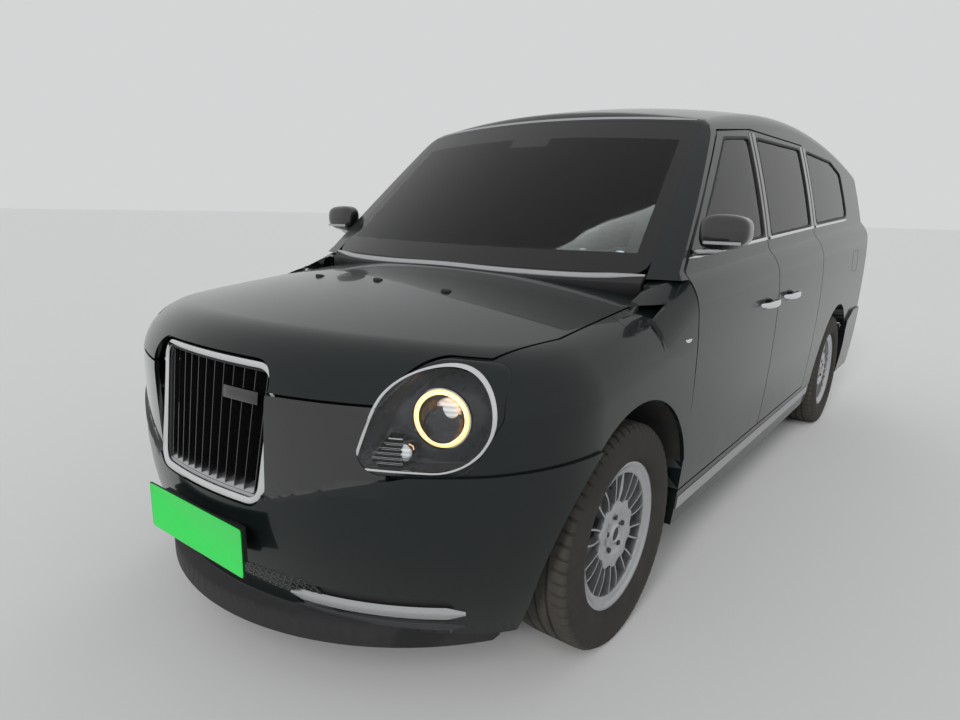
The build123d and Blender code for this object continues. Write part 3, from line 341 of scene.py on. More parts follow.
class Finish(NodeTree):
    def __init__(self, name, **surface):
        self.material = bpy.data.materials.new(name)
        self.material.use_nodes = True
        super().__init__(self.material.node_tree)
        self.tree.nodes.clear()
        self.place = self.add("TexCoord").outputs["Object"]
        self.shader = self.add("BsdfPrincipled", {}, {socketNames[k]: v for k, v in surface.items()})
        self.output = self.add("OutputMaterial", {}, {"Surface": self.shader.outputs[0]})

    def axes(self):
        parts = self.add("SeparateXYZ", {}, {0: self.place})
        return [Value(self, parts.outputs[i]) for i in range(3)]

    def texture(self, kind, output, settings, stretch, **values):
        place = self.add("Mapping", {}, {"Vector": self.place, "Scale": stretch}).outputs[0]
        return Value(self, self.add(kind, settings, {"Vector": place, **values}).outputs[output])

    def noise(self, scale, detail=3.0, roughness=0.5, stretch=(1, 1, 1)):
        return self.texture("TexNoise", "Fac", {}, stretch, Scale=scale, Detail=detail, Roughness=roughness)

    def cells(self, scale, feature="F1"):
        return self.texture("TexVoronoi", "Distance", {"feature": feature}, (1, 1, 1), Scale=scale)

    def blend(self, factor, first, second):
        node = self.add("Mix", {"data_type": "RGBA"}, {0: factor, 6: first, 7: second})
        return node.outputs[2]

    def feed(self, **sockets):
        for key, value in sockets.items():
            self.feedSocket(self.shader.inputs[socketNames[key]], value)
        return self

    def bump(self, height, strength, distance):
        node = self.add("Bump", {}, {"Height": height, "Strength": strength, "Distance": distance})
        self.tree.links.new(node.outputs[0], self.shader.inputs["Normal"])
        return self


socketNames = dict(colour="Base Color", rough="Roughness", metal="Metallic", coat="Coat Weight",
                   coatRough="Coat Roughness", glow="Emission Color", glowStrength="Emission Strength",
                   sheen="Sheen Weight", sheenRough="Sheen Roughness", specular="Specular IOR Level")


def rgb(r, g, b):
    return (r, g, b, 1.0)


def shaded(colour, share):
    return rgb(*(min(1.0, c * share) for c in colour[:3]))


paintLook = dict(base=rgb(0.0030, 0.0050, 0.0052), flake=rgb(0.006, 0.011, 0.011), flakeScale=1800, dustZ=0.62)


def paintFinish():
    k = paintLook
    f = Finish("body_paint", colour=k["base"], metal=0.0, rough=0.45, coat=0.65, coatRough=0.02, specular=0.12)
    z = f.axes()[2]
    flakes = f.cells(k["flakeScale"]).ramp(0.1, 0.55)
    film = (1.0 - (z / k["dustZ"]).ramp(0.35, 1.0)) * f.noise(9.0, 5.0)
    dusty = f.blend(film * 0.10, f.blend(flakes, k["flake"], k["base"]), rgb(0.09, 0.085, 0.075))
    f.feed(colour=dusty, rough=0.30 + film * 0.25)
    return f.bump(f.noise(260.0, 2.0), 0.012, 0.001).material


def plainFinish(name, colour, rough, metal=0.0, mottle=0.15, scale=40.0, bumpStrength=0.05, bumpScale=400.0, **more):
    # One colour with a slight mottle, uneven gloss and a fine surface
    f = Finish(name, colour=colour, rough=rough, metal=metal, **more)
    cloud = f.noise(scale, 4.0)
    mottled = f.blend(cloud, shaded(colour, 1 - mottle), shaded(colour, 1 + mottle))
    f.feed(colour=mottled, rough=rough * 0.8 + cloud * (rough * 0.4))
    if bumpStrength:
        f.bump(f.noise(bumpScale, 2.0), bumpStrength, 0.001)
    return f.material


def grimyFinish(name, colour, rough, metal=0.0, grime=0.35, grimeColour=rgb(0.05, 0.042, 0.034), bumpStrength=0.25):
    f = Finish(name, colour=colour, rough=rough, metal=metal)
    patches = f.noise(7.0, 6.0, 0.6).ramp(0.4, 0.75)
    fine = f.noise(120.0, 3.0)
    f.feed(colour=f.blend(patches * grime + fine * 0.1, colour, grimeColour),
           rough=rough + patches * (0.9 - rough) * 0.7)
    return f.bump(fine, bumpStrength, 0.0015).material


def brushedFinish(name, colour, rough):
    # Long fine scratches along the car
    f = Finish(name, colour=colour, rough=rough, metal=1.0)
    lines = f.noise(60.0, 3.0, 0.6, (1.0, 0.03, 14.0))
    f.feed(colour=f.blend(lines, shaded(colour, 0.82), colour), rough=rough * 0.75 + lines * rough * 0.5)
    return f.bump(lines, 0.04, 0.0005).material


tyreLook = dict(rubber=rgb(0.018, 0.017, 0.016), dust=rgb(0.085, 0.077, 0.066), radius=0.3555)


def tyreFinish(name, middle):
    k = tyreLook
    f = Finish(name, colour=k["rubber"], rough=0.8, specular=0.3)
    y, z = f.axes()[1:]
    away = ((y - middle.y) * (y - middle.y) + (z - middle.z) * (z - middle.z)).power(0.5)
    tread = away.ramp(k["radius"] - 0.018, k["radius"] - 0.003)
    dust = f.noise(16.0, 6.0, 0.65) * 0.45 + tread * 0.35
    f.feed(colour=f.blend(dust, k["rubber"], k["dust"]), rough=0.72 + dust * 0.2)
    rings = (away * 900.0).sine() * 0.3 + f.noise(180.0, 3.0)
    return f.bump(rings, 0.25, 0.0008).material


def leatherFinish(name, colour, worn):
    # Pebbled grain, with the colour lifting on the crowns
    f = Finish(name, colour=colour, rough=0.5, sheen=0.15, sheenRough=0.5)
    grain = f.cells(420.0, "DISTANCE_TO_EDGE").ramp(0.0, 0.12)
    cloud = f.noise(12.0, 4.0)
    f.feed(colour=f.blend(grain * 0.5 + cloud * 0.4, colour, worn), rough=0.42 + cloud * 0.16 + (1.0 - grain) * 0.12)
    return f.bump(grain + f.noise(60.0, 3.0) * 0.6, 0.35, 0.0006).material


def grainFinish(name, colour, rough=0.62):
    # Moulded plastic with a stipple
    f = Finish(name, colour=colour, rough=rough)
    cells = f.cells(700.0)
    cloud = f.noise(20.0, 4.0)
    f.feed(colour=f.blend(cloud, shaded(colour, 0.85), shaded(colour, 1.2)), rough=rough - 0.06 + cells * 0.12)
    return f.bump(cells + f.noise(200.0, 2.0) * 0.5, 0.3, 0.0005).material


# foot and head are (x, z) of the windscreen's corners. tail is the half width, top and foot of its clear part
glassLook = dict(tint=rgb(0.93, 0.96, 0.945), darkTint=rgb(0.42, 0.47, 0.46), band=0.055, foot=(0.776, 1.128),
                 head=(0.686, 1.682), crown=0.028, coverHalf=0.095, coverZ=1.600, tail=(0.600, 1.640, 1.270),
                 tailBand=0.030)


def glassFinish(name, tint, border=None, ior=1.33):
    # Clear glass: mirror-like at a glancing angle, see-through otherwise, with an opaque border where one is printed
    f = Finish(name, colour=rgb(0.004, 0.004, 0.004), rough=0.04, coat=0.0)
    clear = f.add("BsdfTransparent", {}, {"Color": tint})
    gloss = f.add("BsdfPrincipled", {}, {"Base Color": rgb(1, 1, 1), "Metallic": 1.0, "Roughness": 0.0})
    smear = f.noise(6.0, 4.0)
    f.tree.links.new((0.004 + smear * 0.02).socket, gloss.inputs["Roughness"])
    shine = f.add("Fresnel", {}, {"IOR": ior}).outputs[0]
    pane = f.add("MixShader", {}, {0: shine, 1: clear.outputs[0], 2: gloss.outputs[0]})
    if border is None:
        f.tree.links.new(pane.outputs[0], f.output.inputs[0])
        return f.material
    mask = border(f)
    whole = f.add("MixShader", {}, {0: mask, 1: pane.outputs[0], 2: f.shader.outputs[0]})
    f.tree.links.new(whole.outputs[0], f.output.inputs[0])
    return f.material


def screenBorder(f):
    k = glassLook
    x, _, z = f.axes()
    (x0, z0), (x1, z1) = k["foot"], k["head"]
    edge = x0 - (z - z0) * ((x0 - x1) / (z1 - z0)) - abs(x)
    top = z1 + k["crown"] - x * x * (k["crown"] / x1 ** 2)
    inside = edge.least((top - z) * 0.75).least((z - z0) * 0.8)
    cover = (k["coverHalf"] - abs(x)).least((z - k["coverZ"]) * 0.8)
    return (inside < k["band"]).most(cover > 0.0)


def tailBorder(f):
    x, _, z = f.axes()
    half, top, foot = glassLook["tail"]
    inside = (half - abs(x)).least(top - z).least(z - foot)
    return inside < glassLook["tailBand"]


def lampGlow(name, colour, strength):
    f = Finish(name, colour=rgb(0.8, 0.8, 0.8), rough=0.3, glow=colour, glowStrength=strength)
    return f.bump(f.noise(90.0, 2.0), 0.05, 0.001).material


def lensFinish(name, deep, bright):
    # Ribbed coloured lens
    f = Finish(name, colour=deep, rough=0.08, coat=1.0, coatRough=0.02, glow=deep, glowStrength=0.04)
    z = f.axes()[2]
    ribs = (z * 520.0).sine().ramp(-1.0, 1.0)
    f.feed(colour=f.blend(ribs, deep, bright))
    return f.bump(ribs, 0.3, 0.001).material


finishes = dict(
    paint=paintFinish(),
    glossBlack=plainFinish("gloss_black", rgb(0.008, 0.008, 0.009), 0.10, coat=1.0, coatRough=0.03,
                           bumpStrength=0.02),
    softBlack=grainFinish("soft_black", rgb(0.014, 0.014, 0.015), 0.6),
    chrome=plainFinish("bright_chrome", rgb(0.78, 0.79, 0.80), 0.06, 1.0, mottle=0.05, scale=18, bumpStrength=0.01),
    satin=brushedFinish("satin_silver", rgb(0.56, 0.57, 0.58), 0.30),
    wheelSilver=plainFinish("wheel_silver", rgb(0.46, 0.47, 0.48), 0.30, 0.85, mottle=0.12, scale=30, coat=0.6,
                            coatRough=0.08, bumpStrength=0.03),
    lampHousing=plainFinish("lamp_housing", rgb(0.045, 0.047, 0.050), 0.28, 0.5, bumpStrength=0.02),
    reflector=plainFinish("lamp_reflector", rgb(0.72, 0.73, 0.75), 0.10, 1.0, mottle=0.04, bumpStrength=0.0),
    redLens=lensFinish("red_lens", rgb(0.16, 0.004, 0.006), rgb(0.40, 0.02, 0.02)),
    whiteLens=lensFinish("clear_lens", rgb(0.55, 0.56, 0.56), rgb(0.85, 0.86, 0.86)),
    plateGreen=plainFinish("plate_green", rgb(0.02, 0.58, 0.075), 0.38, mottle=0.06, scale=25, bumpStrength=0.03),
    underbody=grimyFinish("underbody", rgb(0.020, 0.020, 0.021), 0.75, 0.0, 0.4),
    liner=grimyFinish("liner_felt", rgb(0.016, 0.016, 0.016), 0.92, 0.0, 0.45, bumpStrength=0.6),
    cast=grimyFinish("cast_metal", rgb(0.27, 0.27, 0.275), 0.5, 0.85, 0.5),
    steel=grimyFinish("running_gear", rgb(0.06, 0.058, 0.056), 0.55, 0.5, 0.5),
    disc=brushedFinish("brake_disc", rgb(0.42, 0.41, 0.40), 0.34),
    battery=plainFinish("battery_case", rgb(0.30, 0.31, 0.32), 0.45, 0.8),
    dash=grainFinish("dash_grain", rgb(0.020, 0.021, 0.023)),
    trimDark=grainFinish("inner_trim", rgb(0.030, 0.031, 0.033)),
    headliner=plainFinish("headliner", rgb(0.30, 0.30, 0.29), 0.95, mottle=0.08, bumpStrength=0.4, bumpScale=900),
    carpet=plainFinish("cabin_floor", rgb(0.022, 0.022, 0.024), 0.95, mottle=0.25, scale=200, bumpStrength=0.5),
    darkSeat=leatherFinish("dark_seat", rgb(0.012, 0.012, 0.013), rgb(0.030, 0.030, 0.031)),
    tanSeat=leatherFinish("tan_seat", rgb(0.36, 0.135, 0.040), rgb(0.50, 0.215, 0.080)),
    wheelLeather=leatherFinish("wheel_leather", rgb(0.010, 0.010, 0.010), rgb(0.024, 0.024, 0.024)),
    screenGlass=glassFinish("screen_glass", glassLook["tint"], screenBorder),
    tailGlass=glassFinish("tail_glass", glassLook["darkTint"], tailBorder),
    sideGlass=glassFinish("side_glass", glassLook["tint"]),
    darkGlass=glassFinish("dark_glass", glassLook["darkTint"]),
    lampGlass=glassFinish("lamp_cover", rgb(0.97, 0.98, 0.98)),
    amberGlow=lampGlow("amber_glow", rgb(1.0, 0.40, 0.06), 3.2),
    dialGlow=lampGlow("dial_glow", rgb(0.35, 0.55, 0.75), 0.5),
)
print("materials ready:", len(finishes))


# Making pieces

def smoothBy(mesh, degrees):
    mesh.polygons.foreach_set("use_smooth", [True] * len(mesh.polygons))
    mesh.set_sharp_from_angle(angle=math.radians(degrees))


def meshOf(name, bm, materials):
    mesh = bpy.data.meshes.new(name)
    bm.to_mesh(mesh)
    bm.free()
    for material in materials:
        mesh.materials.append(finishes[material])
    return mesh


def addPiece(name, bm, materials, body="body", replaces=(), sharp=35, tidy=True):
    if tidy:
        bmesh.ops.remove_doubles(bm, verts=bm.verts, dist=1e-5)
        bmesh.ops.recalc_face_normals(bm, faces=bm.faces)
    mesh = meshOf(name, bm, [materials] if isinstance(materials, str) else materials)
    smoothBy(mesh, sharp)
    piece = addObject(name, mesh)
    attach(piece, body)
    if replaces:
        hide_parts(*replaces)
    return piece


def dropOnto(points, form, direction, lift=0.0):
    # Moves points along one direction until they meet the form
    moved, step = np.array(points, float), np.array(direction, float)
    for _ in range(14):
        depth, normal = form(moved)
        facing = normal @ step
        facing = np.where(np.abs(facing) < 0.15, -0.15, facing)
        moved = moved + ((lift - depth) / facing)[:, None] * step
    return moved


castFrom = dict(front=0.0, rear=4.80, sideX=0.95)


def castOnto(first, heights, form, lift, facing="front", side=1):
    # Drops places drawn in front or rear view (x, z), or in side view (u, z), onto the form
    if facing == "side":
        start, heading = (np.full(len(first), castFrom["sideX"] * side), at(first), heights), (-side, 0, 0)
    else:
        start = (first * side, np.full(len(first), at(castFrom[facing])), heights)
        heading = (0, 1 if facing == "front" else -1, 0)
    return dropOnto(np.stack(start, 1), form, heading, lift)


def roundEdges(bm, offset):
    # Bevels every corner sharper than one radian
    rim = [e for e in bm.edges if e.calc_face_angle(0) > 1.0]
    bmesh.ops.bevel(bm, geom=rim, offset=offset, offset_type="OFFSET", affect="EDGES", segments=2, profile=0.5,
                    material=-1)


def ellipse(x, z, halfLong, halfTall, count):
    turns = np.linspace(0, math.tau, count, endpoint=False)
    return [(x + halfLong * math.cos(t), z + halfTall * math.sin(t)) for t in turns]


def roundedOutline(points, radius, steps=6):
    # A closed outline with its corners rounded, counter-clockwise or clockwise as the points run
    result, count = [], len(points)
    radii = radius if isinstance(radius, (list, tuple)) else [radius] * count
    for i in range(count):
        before, here, after = (Vector(points[(i + j) % count]) for j in (-1, 0, 1))
        back, forth = (before - here).normalized(), (after - here).normalized()
        angle = back.angle(forth)
        reach = min(radii[i] / math.tan(angle / 2), 0.49 * (before - here).length, 0.49 * (after - here).length)
        r = reach * math.tan(angle / 2)
        if r < 1e-5:
            result.append(here.copy())
            continue
        centre = here + (back + forth).normalized() * (r / math.sin(angle / 2))
        start, end = here + back * reach - centre, here + forth * reach - centre
        first = math.atan2(start.y, start.x)
        sweep = math.atan2(start.x * end.y - start.y * end.x, start.dot(end))
        for step in range(steps + 1):
            t = first + sweep * step / steps
            result.append(centre + Vector((math.cos(t), math.sin(t))) * r)
    return result


def addLoop(bm, places):
    verts = [bm.verts.new(place) for place in places]
    return [bm.edges.new((verts[i], verts[(i + 1) % len(verts)])) for i in range(len(verts))]


def loopStack(bm, loops, capStart=False, capEnd=False, joinEnds=False):
    # Closed loops of points bridged one to the next
    rings = [addLoop(bm, places) for places in loops]
    pairs = list(zip(rings, rings[1:])) + ([(rings[-1], rings[0])] if joinEnds else [])
    for first, second in pairs:
        bmesh.ops.bridge_loops(bm, edges=first + second)
    for ring, wanted in ((rings[0], capStart), (rings[-1], capEnd)):
        if wanted:
            bmesh.ops.contextual_create(bm, geom=ring)


def addGrid(bm, across, along):
    # A unit grid whose points are then placed by a rule of (s, t), each from 0 to 1
    grid = bmesh.ops.create_grid(bm, x_segments=across, y_segments=along, size=0.5)["verts"]
    return {v: (v.co.x + 0.5, v.co.y + 0.5) for v in grid}


def addBar(bm, axis, cuts, size=(1.0, 1.0, 1.0)):
    # A unit bar cut across its length, as verts that are then placed by a rule
    start, startEdge = len(bm.verts), len(bm.edges)
    bmesh.ops.create_cube(bm, size=1.0)
    bm.edges.ensure_lookup_table()
    along = [e for e in bm.edges[startEdge:] if abs((e.verts[0].co - e.verts[1].co)[axis]) > 0.5]
    bmesh.ops.subdivide_edges(bm, edges=along, cuts=cuts)
    bm.verts.ensure_lookup_table()
    fresh = bm.verts[start:]
    for v in fresh:
        v.co = Vector(c * k for c, k in zip(v.co, size))
    return fresh


def addPebble(bm, cuts, power):
    # A cube blown towards a ball: power 2 is a ball, and higher powers keep the cube's corners
    start, startEdge = len(bm.verts), len(bm.edges)
    bmesh.ops.create_cube(bm, size=2.0)
    bm.edges.ensure_lookup_table()
    bmesh.ops.subdivide_edges(bm, edges=bm.edges[startEdge:], cuts=cuts, use_grid_fill=True)
    bm.verts.ensure_lookup_table()
    fresh = bm.verts[start:]
    for v in fresh:
        size = sum(abs(c) ** power for c in v.co) ** (1 / power)
        v.co = v.co / size
    return fresh


def smoothPath(points, count):
    # An even run of places along a smooth line through the points
    pts = [np.array(p, float) for p in points]
    pts = [2 * pts[0] - pts[1]] + pts + [2 * pts[-1] - pts[-2]]
    fine = []
    for a, b, c, d in zip(pts, pts[1:], pts[2:], pts[3:]):
        for t in np.linspace(0, 1, 24, endpoint=False):
            fine.append(0.5 * (2 * b + (c - a) * t + (2 * a - 5 * b + 4 * c - d) * t * t
                               + (3 * b - a - 3 * c + d) * t ** 3))
    fine.append(pts[-2])
    fine = np.array(fine)
    gone = np.concatenate([[0], np.cumsum(np.linalg.norm(np.diff(fine, axis=0), axis=1))])
    want = np.linspace(0, gone[-1], count)
    return np.stack([np.interp(want, gone, fine[:, i]) for i in range(fine.shape[1])], 1)


def addStrip(name, points, form, width, height, material, body="body", count=60, lift=0.0,
             taper=(1.0, 1.0), both=True, sink=1.5 * mm, crown=2.0):
    # A domed strip that follows the skin through the points, as drawn or on both sides of the car
    for side, tag in (sides if both else ((1, ""),)):
        line = onto(smoothPath([tuple(vec(p[0] * side, p[1], p[2])) for p in points], count), form)
        ahead = np.gradient(line, axis=0)
        ahead /= np.linalg.norm(ahead, axis=1, keepdims=True)
        out = form(line)[1]
        across = np.cross(ahead, out)
        across /= np.linalg.norm(across, axis=1, keepdims=True)
        bm = bmesh.new()
        rule = addGrid(bm, count, 8)
        rises = {}
        for vert, (s, t) in rule.items():
            i = min(int(round(s * (count - 1))), count - 1)
            ends = min(1.0, taper[0] + s * 8) * min(1.0, taper[1] + (1 - s) * 8)
            vert.co = line[i] + across[i] * (width * (t - 0.5) * ends)
            dome = height * (1 - abs(2 * t - 1) ** crown) * min(1.0, 0.25 + 0.75 * ends)
            rises[vert] = lift + dome - (sink if t in (0.0, 1.0) else 0)
        verts = list(rises)
        base = onto(asArray(v.co for v in verts), form)
        outward = form(base)[1]
        for vert, place, away in zip(verts, base, outward):
            vert.co = place + away * rises[vert]
        bmesh.ops.recalc_face_normals(bm, faces=bm.faces)
        if sum((f.normal.dot(Vector(form(asArray([f.calc_center_median()]))[1][0])) for f in bm.faces)) < 0:
            bmesh.ops.reverse_faces(bm, faces=bm.faces)
        bmesh.ops.solidify(bm, geom=bm.faces, thickness=2 * mm)
        addPiece(name + tag, bm, material, ridden(body, tag), sharp=50)


def ridden(body, tag):
    # A door is named without its side where pieces are made in pairs
    return body + tag if body in ("front_door", "rear_door") else body


# Painted panels and glass: the CAD shape refined onto the true skin, with the skin's own shading

refineLook = dict(longest=0.050, tolerance=0.0005, nearest=0.004, passes=8, sharp=30, shadeWithin=0.0022)


def skinOf(points, skins):
    # Which skin each point lies on, or -1. A skin is a form and how deep below it
    which = np.full(len(points), -1)
    for i, (form, inset) in enumerate(skins):
        depth, _n = form(points)
        which[(which < 0) & (np.abs(depth + inset) < refineLook["tolerance"])] = i
    return which


def refineOnto(bm, skins):
    k = refineLook
    for _ in range(k["passes"]):
        bm.verts.index_update()
        which = skinOf(asArray(v.co for v in bm.verts), skins)
        chosen = {}
        for e in bm.edges:
            skin = which[e.verts[0].index]
            if skin >= 0 and which[e.verts[1].index] == skin and e.calc_length() > k["longest"]:
                chosen.setdefault(skin, []).append(e)
        edges, homes = [], {}
        for skin, long in chosen.items():
            form, inset = skins[skin]
            middles = asArray((e.verts[0].co + e.verts[1].co) / 2 for e in long)
            close = np.abs(form(middles)[0] + inset) < k["nearest"]
            for e, place, fine in zip(long, onto(middles, form, -inset), close):
                if fine:
                    homes[tuple(round(c, 6) for c in (e.verts[0].co + e.verts[1].co) / 2)] = place
                    edges.append(e)
        if not edges:
            break
        result = bmesh.ops.subdivide_edges(bm, edges=edges, cuts=1)
        for v in result["geom_inner"]:
            if isinstance(v, bmesh.types.BMVert):
                place = homes.get(tuple(round(c, 6) for c in v.co))
                if place is not None:
                    v.co = place
        bmesh.ops.triangulate(bm, faces=[f for f in bm.faces if len(f.verts) > 3])


def shadeAs(mesh, skins, sharp):
    smoothBy(mesh, sharp)
    count = len(mesh.vertices)
    co = np.zeros(count * 3)
    mesh.vertices.foreach_get("co", co)
    co = co.reshape(-1, 3)
    loops = np.zeros(len(mesh.loops), int)
    mesh.loops.foreach_get("vertex_index", loops)
    normals = np.zeros(len(mesh.loops) * 3)
    mesh.corner_normals.foreach_get("vector", normals)
    normals = normals.reshape(-1, 3)
    tri = loops.reshape(-1, 3)
    centres = co[tri].mean(axis=1)
    flat = np.cross(co[tri[:, 1]] - co[tri[:, 0]], co[tri[:, 2]] - co[tri[:, 0]])
    flat /= np.maximum(np.linalg.norm(flat, axis=1, keepdims=True), 1e-12)
    normals = normals.reshape(-1, 3, 3)
    spots = co[tri] + 0.03 * (centres[:, None, :] - co[tri])
    done = np.zeros(len(tri), bool)
    for form, inset in skins:
        depth, outward = form(centres)
        facing = np.sum(flat * outward, axis=1)
        onSkin = np.max(np.abs(form(co)[0][tri] + inset), axis=1) < refineLook["shadeWithin"]
        mine = ~done & onSkin & (np.abs(depth + inset) < refineLook["shadeWithin"]) & (np.abs(facing) > 0.3)
        done |= mine
        smooth = form(spots[mine].reshape(-1, 3))[1].reshape(-1, 3, 3)
        normals[mine] = smooth * np.sign(facing[mine])[:, None, None]
    mesh.normals_split_custom_set(normals.reshape(-1, 3).tolist())


def skinPanel(nodeName, skins, materials, body="body", innerDepth=None, choose=None):
    # materials: outer, and inner where the panel has a lining from innerDepth inward
    bm = bmesh.new()
    bm.from_mesh(nodes[nodeName].data)
    bmesh.ops.remove_doubles(bm, verts=bm.verts, dist=2e-5)
    refineOnto(bm, skins)
    bm.normal_update()
    if innerDepth is not None:
        depth, _n = skins[0][0](asArray(f.calc_center_median() for f in bm.faces))
        for face, deep in zip(bm.faces, depth):
            face.material_index = 1 if deep < -innerDepth else 0
    if choose is not None:
        for face in bm.faces:
            face.material_index = choose(face.calc_center_median())
    mesh = meshOf(nodeName + "_skin", bm, materials)
    shadeAs(mesh, skins, refineLook["sharp"])
    piece = addObject(nodeName + "_skin", mesh)
    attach(piece, body)
    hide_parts(nodeName)


# Each row: node, form, outer and inner material, slot, body, depths of its smooth faces, and the depth where the
# lining starts
panels = [
    ("bonnet", noseForm, ("paint", "softBlack"), "body_paint", "bonnet", (0.0, 0.014), 0.010),
    ("tailgate", cabinForm, ("paint", "trimDark"), "body_paint", "tailgate", (0.0, 0.060), 0.045),
    ("roof_panel", cabinForm, ("paint", "headliner"), "body_paint", "body", (0.0, 0.042), 0.030),
    ("rear_bumper", cabinForm, ("paint", "softBlack"), "body_paint", "body", (-0.015, 0.024), 0.015),
    ("windscreen", cabinForm, ("screenGlass",), "glass", "body", (0.0003, 0.0053), None),
    ("tailgate_glass", cabinForm, ("tailGlass",), "glass", "tailgate", (0.006, 0.011), None),
    ("quarter_glass", cabinForm, ("darkGlass",), "glass", "body", (0.006, 0.011), None),
    ("body_trim", cabinForm, ("satin",), "bright_trim", "body", (-0.003,), None),
    ("tail_lamps", cabinForm, ("redLens",), "red_lens", "body", (-0.007,), None),
]
for side in ("left", "right"):
    panels += [
        ("wing_" + side, noseForm, ("paint", "softBlack"), "body_paint", "body", (0.0, 0.014), 0.013),
        ("side_frame_" + side, cabinForm, ("paint", "trimDark"), "body_paint", "body", (0.0, 0.080), 0.068),
        ("front_door_" + side, cabinForm, ("paint", "trimDark"), "body_paint", "front_door_" + side,
         (0.0, 0.008, 0.075), 0.048),
        ("rear_door_" + side, cabinForm, ("paint", "trimDark"), "body_paint", "rear_door_" + side,
         (0.0, 0.008, 0.075), 0.048),
        ("front_door_glass_" + side, cabinForm, ("sideGlass",), "glass", "front_door_" + side, (0.006, 0.011), None),
        ("rear_door_glass_" + side, cabinForm, ("darkGlass",), "glass", "rear_door_" + side, (0.006, 0.011), None),
    ]


for node, form, materials, slot, body, insets, innerDepth in panels:
    skinPanel(node, [(form, inset) for inset in insets], materials, body, innerDepth)

lip = dict(radius=0.905, axisU=0.950, blackBelow=0.242,
           joint=[(0.285, 0.580), (0.480, 0.645), (0.640, 0.692), (0.800, 0.700), (0.960, 0.714)])


def lipForm(points):
    away = np.maximum(np.hypot(points[:, 0], points[:, 1] - at(lip["axisU"])), tiny)
    outward = np.stack([points[:, 0] / away, (points[:, 1] - at(lip["axisU"])) / away, np.zeros(len(points))], 1)
    return away - lip["radius"], outward


def bumperFace(spot):
    # Painted bumper, gloss panel between grille and lamps, dull lip below
    if spot.z < lip["blackBelow"]:
        return 2
    across, heights = zip(*lip["joint"])
    if spot.z < np.interp(abs(spot.x), across, heights) + 0.004:
        return 0
    ownDepth, noseDepth = (abs(form(asArray([spot]))[0][0]) for form in (bumperForm, noseForm))
    return 0 if ownDepth < min(0.0015, noseDepth) else 1


skinPanel("front_bumper", [(bumperForm, 0.0), (noseForm, 0.0), (lipForm, 0.0)], ("paint", "glossBlack", "softBlack"),
          choose=bumperFace)
print("panels and glass on the skin:", len(panels))


# Grille: a chromed ring round upright fins, on a plane that leans back

grille = dict(footU=0.024, footZ=0.548, lean=math.radians(7.3), half=(0.258, 0.285), top=0.940, corner=0.060,
              bow=1.232556, ring=0.024, depth=0.078, fins=12, finWidth=0.0075, finDepth=0.036, finBack=0.014,
              wires=26, wireTall=0.0042, baseHeight=0.030, barAt=(0.075, -0.118), bar=(0.135, 0.030))


def onGrille(x, height, out):
    # height is along the leaning plane, out is ahead of it; the plane bows with the nose
    k = grille
    c, s = math.cos(k["lean"]), math.sin(k["lean"])
    bow = k["bow"] - math.sqrt(k["bow"] ** 2 - x * x)
    out = out - bow
    return vec(x, k["footU"] + height * s - out * c, k["footZ"] + height * c + out * s)


def grilleOutline(grow):
    k = grille
    tall = (k["top"] - k["footZ"]) / math.cos(k["lean"])
    (low, high), g = k["half"], grow
    corners = [(-low - g, -g), (low + g, -g), (high + g, tall + g), (-high - g, tall + g)]
    return roundedOutline(corners, k["corner"] + grow, 12)


def resampled(points, count):
    ring = np.array([tuple(p) for p in points] + [tuple(points[0])])
    gone = np.concatenate([[0], np.cumsum(np.linalg.norm(np.diff(ring, axis=0), axis=1))])
    want = np.linspace(0, gone[-1], count, endpoint=False)
    return [Vector(row) for row in np.stack([np.interp(want, gone, ring[:, i]) for i in range(ring.shape[1])], 1)]


